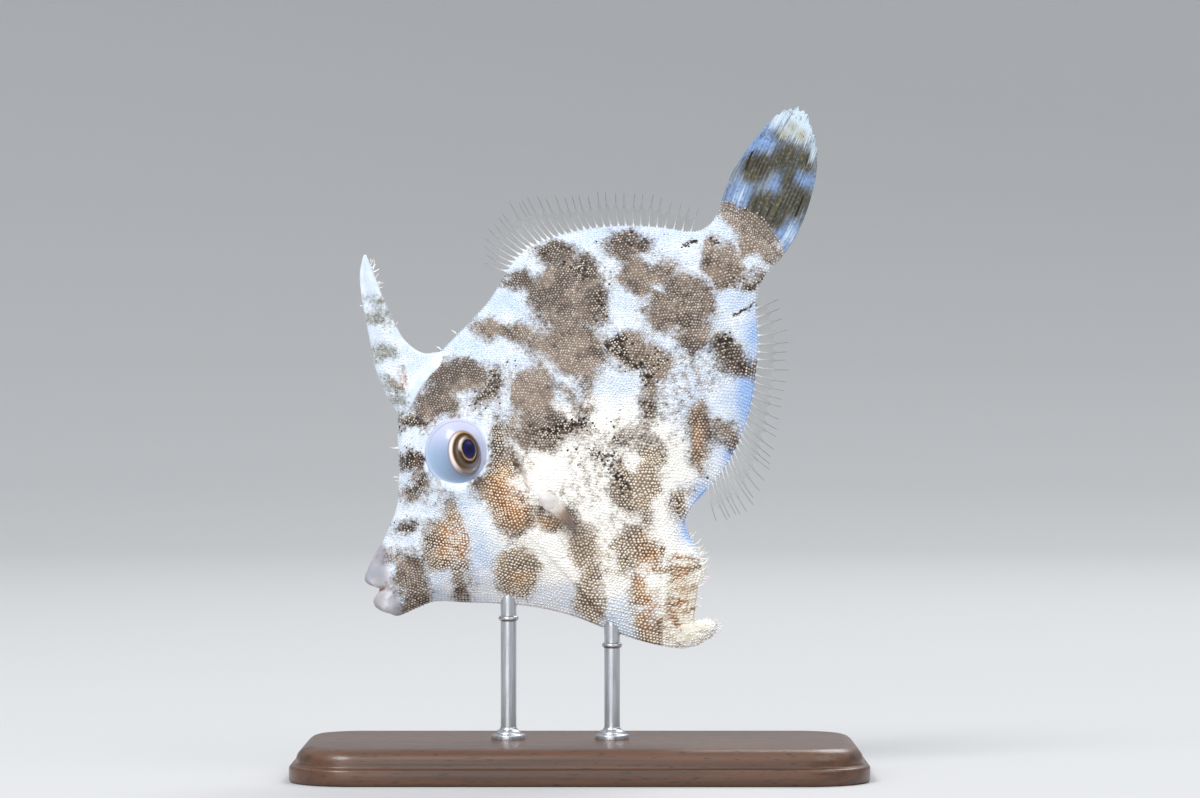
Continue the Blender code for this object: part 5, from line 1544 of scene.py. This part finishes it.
def web_grid(rays, reach, fall, columns):
    """A web's rows and columns among the rows and steps of its fin's rays, and its points there.

    It goes out to that reach of the rays, less fall sin(pi row)^2 between each two of them.
    """
    count, steps = rays.shape[:2]
    row = np.linspace(0, count - 1, (count - 1) * WEB_ROWS + 1)[:, None]
    column = (reach - fall * np.sin(np.pi * row) ** 2) * np.linspace(0, 1, columns) * (steps - 1)
    return row, column, between(rays, row, column)


def make_soft_fin(name, node, fin, ray_look, web_look):
    """A soft fin: thin tapered rays sunk in the edge, and a clear web that falls back between their tips."""
    draw = np.random.default_rng(31 if fin["turn"] > 0 else 32)
    share = np.linspace(0, 1, fin["rays"])
    x = fin["span"][0] + (fin["span"][1] - fin["span"][0]) * share
    z, slope = edge_at(fin["which"], x)
    out = unit(np.stack([-slope, 0 * x, 1 + 0 * x], axis=-1)) * fin["turn"]
    length, angle = spline(np.array(fin["fan"], float), share * (len(fin["fan"]) - 1)).T
    length, angle = length * draw.uniform(0.86, 1.0, len(x)), np.radians(angle + draw.normal(0, 2.2, len(x)))
    edge = np.stack([x, 0 * x, z], axis=-1)
    tips = edge + out * 0.35 + length[:, None] * np.stack([np.cos(angle), 0 * angle, np.sin(angle)], axis=-1)
    sway = fin["turn"] * FIN_SWAY * np.sin(2 * np.pi * FIN_WAVES * share + 0.6)
    rays = fan_rays(edge - out * 0.6, tips, sway, SOFT_FIN_STEPS)
    # The rays bow forward in the middle.
    reach = np.linspace(0, 1, SOFT_FIN_STEPS)
    rays[..., 0] -= 0.05 * length[:, None] * np.sin(np.pi * reach)
    radii = 0.115 - 0.08 * reach**0.8 + 0.14 * bump(reach * length[:, None] - 0.55, 0.28)
    make_rays(name, node, rays, radii, ray_look)
    row, column, middle = web_grid(rays, 0.72, 0.14, 26)
    middle[..., 1] += 0.05 * np.sin(np.pi * row) ** 2 * np.sin(3 * column / (SOFT_FIN_STEPS - 1))
    new_piece(f"{name}_web", *sheet(middle, 0.02), web_look, "clear_fin")


def make_breast_fin(name, node, side, finish):
    """A small fan folded against the flank: pleated, with a fleshy foot over its root."""
    share = np.linspace(0, 1, BREAST_FIN_RAYS)
    feet = spline(np.array(BREAST_FIN_ROOT), 0.5 + 0.85 * (share - 0.5))
    length, angle = spline(np.array(BREAST_FIN_FAN, float), share * (len(BREAST_FIN_FAN) - 1)).T
    angle = np.radians(angle)
    wide = half_width(feet[:, 0], feet[:, 1]).max() + 0.15
    pleat = 0.16 * (-1.0) ** np.arange(len(share))
    root = np.stack([feet[:, 0], np.full(len(share), side * wide), feet[:, 1]], axis=-1)
    out = np.stack([np.cos(angle), side * (0 * angle + BREAST_FIN_LIFT), np.sin(angle)], axis=-1)
    rays = fan_rays(root, root + length[:, None] * out, side * pleat, BREAST_FIN_STEPS)
    reach = np.linspace(0, 1, BREAST_FIN_STEPS)
    rays[..., 1] += side * 0.5 * np.sin(np.pi * reach * 0.5)
    radii = np.tile(0.13 - 0.095 * reach**0.7, (len(share), 1))
    make_rays(name, node, rays, radii, finish)
    column, middle = web_grid(rays, 0.95, 0.10, 22)[1:]
    points, faces = sheet(middle, 0.025)
    values = {"reach": np.tile(column / (BREAST_FIN_STEPS - 1), 2)}
    new_piece(f"{name}_web", points, faces, finish, "clear_fin", values)
    # The fleshy foot: an ellipsoid of half axes BREAST_FOOT along, across and out of the flank, sunk in it.
    down, turn = np.meshgrid(np.linspace(0, np.pi, 25), circle(40), indexing="ij")
    ball = np.cos(down), np.sin(down) * np.cos(turn), np.sin(down) * np.sin(turn)
    along, over, out = (half * way for half, way in zip(BREAST_FOOT, ball))
    over = over * (1 + 0.25 * along / BREAST_FOOT[0])
    lean = math.radians(BREAST_FOOT_TURN) - PITCH
    x, z = own_place(*BREAST_FOOT_PIXEL)
    x = x + along * math.cos(lean) - over * math.sin(lean)
    z = z + along * math.sin(lean) + over * math.cos(lean)
    out = half_width(x, z).mean() + 0.15 + out + 0.06 * ripple(x, z, 1.5, 51)
    points = np.stack([x, side * out, z], axis=-1)
    points[0], points[-1] = points[0, 0], points[-1, 0]
    faces = triangles(grid(*down.shape, poles=True))
    values = {"reach": 0.12 + 0.1 * along / BREAST_FOOT[0]}
    new_piece(f"{name}_foot", points, faces, finish, "skin", values)


def tail_surface(reach, share):
    """The middle of the tail fin at a reach and a share of its root, and half its thickness there.

    Its 12 rays split in two and in four towards the rounded edge. Half the thickness is a base, thick at
    the root and thin at the edge, and ribs of cos(24 pi s), cos(48 pi s) and cos(96 pi s), each fading in as
    the one before fades out. The ribs' height, 0 to 1, comes third.
    """
    steps = 41
    fine = np.linspace(0, 1, steps)
    root, tip = (spline(np.array(line), fine * (len(line) - 1)) for line in (TAIL_ROOT, TAIL_TIPS))
    root, tip = (np.stack([p[:, 0], 0 * fine, p[:, 1]], axis=-1) for p in (root, tip))
    root = root - unit(tip - root) * 1.0
    rays = fan_rays(root, tip, TAIL_SWAY * np.cos(np.pi * fine), steps, TAIL_BULGE)
    turn = 2 * np.pi * TAIL_RAYS * share
    split = soft_step(reach, 0.62, 0.85)
    ribs = np.cos(turn) * (1 - soft_step(reach, 0.3, 0.55))
    ribs = ribs + np.cos(2 * turn) * soft_step(reach, 0.3, 0.5) * (1 - split)
    ribs = ribs + 0.8 * np.cos(4 * turn) * split
    edge = 0.985 + 0.012 * np.cos(turn) + 0.01 * ripple(share * 100, 0 * share, 9, 41)
    last = steps - 1
    middle = between(rays, share * last, np.clip(reach * edge * last, 0, last - 0.001))
    middle[..., 1] += 0.25 * ripple(share * 18, reach * 9, 7, 43) * reach
    end = np.sqrt(np.clip(np.minimum(share, 1 - share) / 0.03, 0.03, 1))
    ribs = 0.5 + 0.5 * ribs
    half = (0.10 + 0.55 * np.clip(1 - reach / 0.22, 0, 1) ** 2 + 0.11 * ribs * (1 - 0.4 * reach)) * end
    return middle, half, ribs


def both_faces(value):
    """The values of a sheet's upper face and, back again, of its lower one."""
    return np.concatenate([value, value[:, ::-1]], axis=1)


def make_tail_fin(finish):
    """The tail fin's sheet, with its markings and the streaks' map on both faces."""
    reach, share = np.meshgrid(np.linspace(0, 1, 110), np.linspace(0, 1, 241), indexing="ij")
    middle, half, ribs = tail_surface(reach, share)
    points, faces = sheet(middle, half)
    x, z = middle[..., 0], middle[..., 2]
    px, py = photo_place(x, z)
    mark = markings(x, z, -1)
    values = {key: mark[key] for key in ("brown", "ochre", "pepper")}
    values |= {key: inside(px, py, groups) for key, groups in TAIL_MARKS.items()}
    values |= {"crest": ribs, "slit": sum(bump(line_distance(px, py, line), 1.1, 4) for line in TAIL_SLITS)}
    values = {key: both_faces(value) for key, value in values.items()}
    place = np.stack([both_faces(share), both_faces(reach)], axis=-1)
    obj = new_piece("tail_fin", points, faces, finish, "tail_fin", values, {"along_rays": place})
    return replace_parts(obj, "caudal_fin")


def make_tail_granules(finish):
    """Granules where the scaly skin runs out over the foot of the tail fin, on both its faces."""
    draw = np.random.default_rng(17)
    reach, share = np.meshgrid(np.arange(0.02, 0.5, 0.026), np.arange(0.015, 0.99, 0.033), indexing="ij")
    share = share + 0.0165 * (np.arange(len(reach)) % 2)[:, None]
    reach = reach.ravel() + draw.normal(0, 0.003, reach.size)
    share = share.ravel() + draw.normal(0, 0.004, reach.size)
    step = 0.01
    middle, half = tail_surface(reach, share)[:2]
    along = tail_surface(reach + step, share)[0] - middle
    across = tail_surface(reach, share + step)[0] - middle
    normal = unit(np.cross(along, across))
    px, py = photo_place(middle[:, 0], middle[:, 2])
    shown = inside(px, py, TAIL_MARKS["skin"]) + draw.normal(0, 1.0, len(px)) > -1
    reach, share, middle, half, normal = (v[shown] for v in (reach, share, middle, half, normal))
    # Six rows cover the stalk's rounded end, between the body's granules and the fin's.
    rows = np.linspace(0.1, 1.35, 6)
    height, turn, side = np.meshgrid(np.linspace(0.04, 0.96, 30), rows, (-1.0, 1.0), indexing="ij")
    height = (height + 0.016 * (np.arange(len(rows)) % 2)[:, None]).ravel()
    height = height + draw.normal(0, 0.003, height.size)
    turn, side = turn.ravel() + draw.normal(0, 0.03, turn.size), side.ravel()
    ends = stalk_end(height, turn, side)
    flow = stalk_end(height, turn + 0.02, side) - ends
    rise = stalk_end(height + 0.01, turn, side) - ends
    facing = unit(np.cross(rise, flow))
    facing = facing * np.sign(facing[:, 1:2] * side[:, None] + 1e-9)
    roots = np.concatenate([middle + normal * half[:, None], middle - normal * half[:, None], ends])
    normals = np.concatenate([normal, -normal, facing])
    place = np.stack([
        np.concatenate([share / 2, 0.5 + share / 2, height / 2]), np.concatenate([reach, reach, 0 * height]),
    ], axis=-1)
    radius = 0.155 * draw.uniform(0.8, 1.15, len(roots))
    mark = markings(roots[:, 0], roots[:, 2], -1) | {"dash": 0 * radius}
    return coat_piece(
        "granules_tail", finish, roots, normals, (radius, 0.8 * radius), np.array([0.5, 0.0, 0.3]), draw,
        mark, place,
    )


def outline(inset, count):
    """Points round a rectangle with round corners, moved in by an inset, evenly spaced by arc length."""
    fine = circle(1600)
    half = np.array(BASE_SIZE[:2]) / 2 - BASE_CORNER
    quarter = np.floor(fine / (np.pi / 2)).astype(int) % 4
    middle = half * np.array([(1, 1), (-1, 1), (-1, -1), (1, -1)])[quarter]
    line = middle + (BASE_CORNER - inset) * np.stack([np.cos(fine), np.sin(fine)], axis=-1)
    line = np.concatenate([line, line[:1]])
    length = length_along(line)
    at = np.linspace(0, length[-1], count, endpoint=False)
    return np.stack([np.interp(at, length, line[:, k]) for k in (0, 1)], axis=-1)


def make_base(finish):
    """The slab: its moulding carried round the rounded outline, closed above and below."""
    count = 320
    rings = [np.column_stack([outline(inset, count), np.full(count, height)]) for inset, height in MOULDING]
    middle = np.zeros((count, 3))
    points = np.stack([middle, *rings, middle + (0, 0, BASE_SIZE[2])])
    faces = triangles(grid(*points.shape[:2], poles=True))
    obj = new_piece("base_slab", points, faces, finish, "stand_wood", own_frame=False)
    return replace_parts(obj, "stand_base")


def belly_height(at):
    """The height of the belly's keel over a place along the base."""
    rows = spline(RIBS[: PELVIS_RIB + 1], np.linspace(0, PELVIS_RIB, CURVE_POINTS))
    keel = to_part_frame(np.stack([rows[:, 2], 0 * rows[:, 2], rows[:, 3]], axis=-1))
    return np.interp(at, keel[:, 0], keel[:, 2])


def spun(radius, height, count, middle=0.0):
    """A profile turned round an upright axis: rows of points at each radius and height."""
    turn = circle(count)
    radius, height = radius[:, None], np.repeat(height[:, None], count, 1)
    return np.stack([middle + radius * np.cos(turn), radius * np.sin(turn), height], axis=-1)


def make_rod(name, node, at, finish):
    """A turned rod: the profile of its collar, shaft and neck ring, spun round its axis up into the belly."""
    top, foot = belly_height(at), BASE_SIZE[2]
    profile = np.array([
        *((radius, foot + height) for radius, height in ROD_COLLAR), (ROD_RADIUS, foot + 2.2),
        (ROD_RADIUS, top - 2.6), *((radius, top + height) for radius, height in ROD_NECK),
        (ROD_RADIUS, top - 1.4), (ROD_RADIUS, top + ROD_SINK), (0.0, top + ROD_SINK),
    ])
    # Half rounded and half straight from point to point, so that the edges are eased but kept.
    fine = np.linspace(0, len(profile) - 1, 6 * len(profile))
    straight = np.stack([np.interp(fine, np.arange(len(profile)), profile[:, k]) for k in (0, 1)], -1)
    radius, height = (0.5 * spline(profile, fine) + 0.5 * straight).T
    points = spun(radius, height, 48, at)
    faces = triangles(grid(*points.shape[:2], poles=True))
    obj = new_piece(name, points, faces, finish, "stand_steel", own_frame=False)
    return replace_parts(obj, node)


def stage_and_camera():
    """A pale floor that curves up all round, soft lamps, and the camera level with the photograph's."""
    scene = bpy.context.scene
    points = spun(*np.array(FLOOR_PROFILE, float).T, 96)
    numbers = grid(*points.shape[:2])
    numbers[0] = numbers[0, 0]
    mesh = bpy.data.meshes.new("floor")
    faces = [tuple(f) for f in triangles(numbers)[:, ::-1].tolist()]
    mesh.from_pydata((points.reshape(-1, 3) * MM).tolist(), [], faces)
    mesh.shade_smooth()
    floor = bpy.data.objects.new("floor", mesh)
    scene.collection.objects.link(floor)
    mesh.materials.append(new_finish("matt_paper", Roughness=0.9, Base_Color="#bfc0c1")[0])
    for name, place, size, watts in LAMPS:
        lamp = bpy.data.lights.new(name, "AREA")
        lamp.size, lamp.energy = size, watts
        obj = bpy.data.objects.new(name, lamp)
        obj.location = place
        aim = np.array(LAMP_AIM) - np.array(place)
        down = math.pi - math.acos(aim[2] / np.linalg.norm(aim))
        obj.rotation_euler = (down, 0, math.atan2(aim[1], aim[0]) - math.pi / 2)
        scene.collection.objects.link(obj)
    world = bpy.data.worlds.new("soft_light")
    world.use_nodes = True
    sky = world.node_tree.nodes["Background"].inputs
    sky["Color"].default_value, sky["Strength"].default_value = linear("#eef1f6"), 0.8
    scene.world = world
    scene.view_settings.view_transform = "Standard"
    data = bpy.data.cameras.new("camera")
    data.lens = data.sensor_width * CAMERA_DISTANCE / (PHOTO_WIDTH * PIXEL * MM)
    camera = bpy.data.objects.new("camera", data)
    across = (CENTRE_PIXEL[0] - AXIS_PIXEL) * PIXEL * MM
    camera.location = (across, -CAMERA_DISTANCE, (FLOOR_PIXEL - CENTRE_PIXEL[1]) * PIXEL * MM)
    camera.rotation_euler = (math.pi / 2, 0, 0)
    scene.collection.objects.link(camera)
    scene.camera = camera


def main():
    """Make every piece with its finish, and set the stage."""
    skin, granule = skin_finish(), granule_finish()
    make_skin(skin)
    make_spine(skin_finish("spine_skin", "#8c8d82", "#62645a"))
    make_hook(skin)
    make_granules(-1, granule)
    make_granules(1, granule)
    make_spine_granules(granule_finish("spine_granules", "#8f9087", "#bcbdb3"))
    make_hook_granules(granule)
    make_bristles(bristle_finish())
    eye, breast = eye_finish(), breast_fin_finish()
    make_eye("left_eye", "eye_left", -1, eye)
    make_eye("right_eye", "eye_right", 1, eye)
    ray_look, web_look = ray_finish(), web_finish()
    make_soft_fin("back_fin", "soft_dorsal_fin", BACK_FIN, ray_look, web_look)
    make_soft_fin("vent_fin", "anal_fin", VENT_FIN, ray_look, web_look)
    make_breast_fin("left_breast_fin", "pectoral_fin_left", -1, breast)
    make_breast_fin("right_breast_fin", "pectoral_fin_right", 1, breast)
    make_tail_fin(tail_finish())
    make_tail_granules(granule)
    make_base(wood_finish())
    steel = steel_finish()
    for node, at in ROD_PLACES.items():
        make_rod(f"{node}_turned", node, at, steel)
    stage_and_camera()
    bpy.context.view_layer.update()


main()
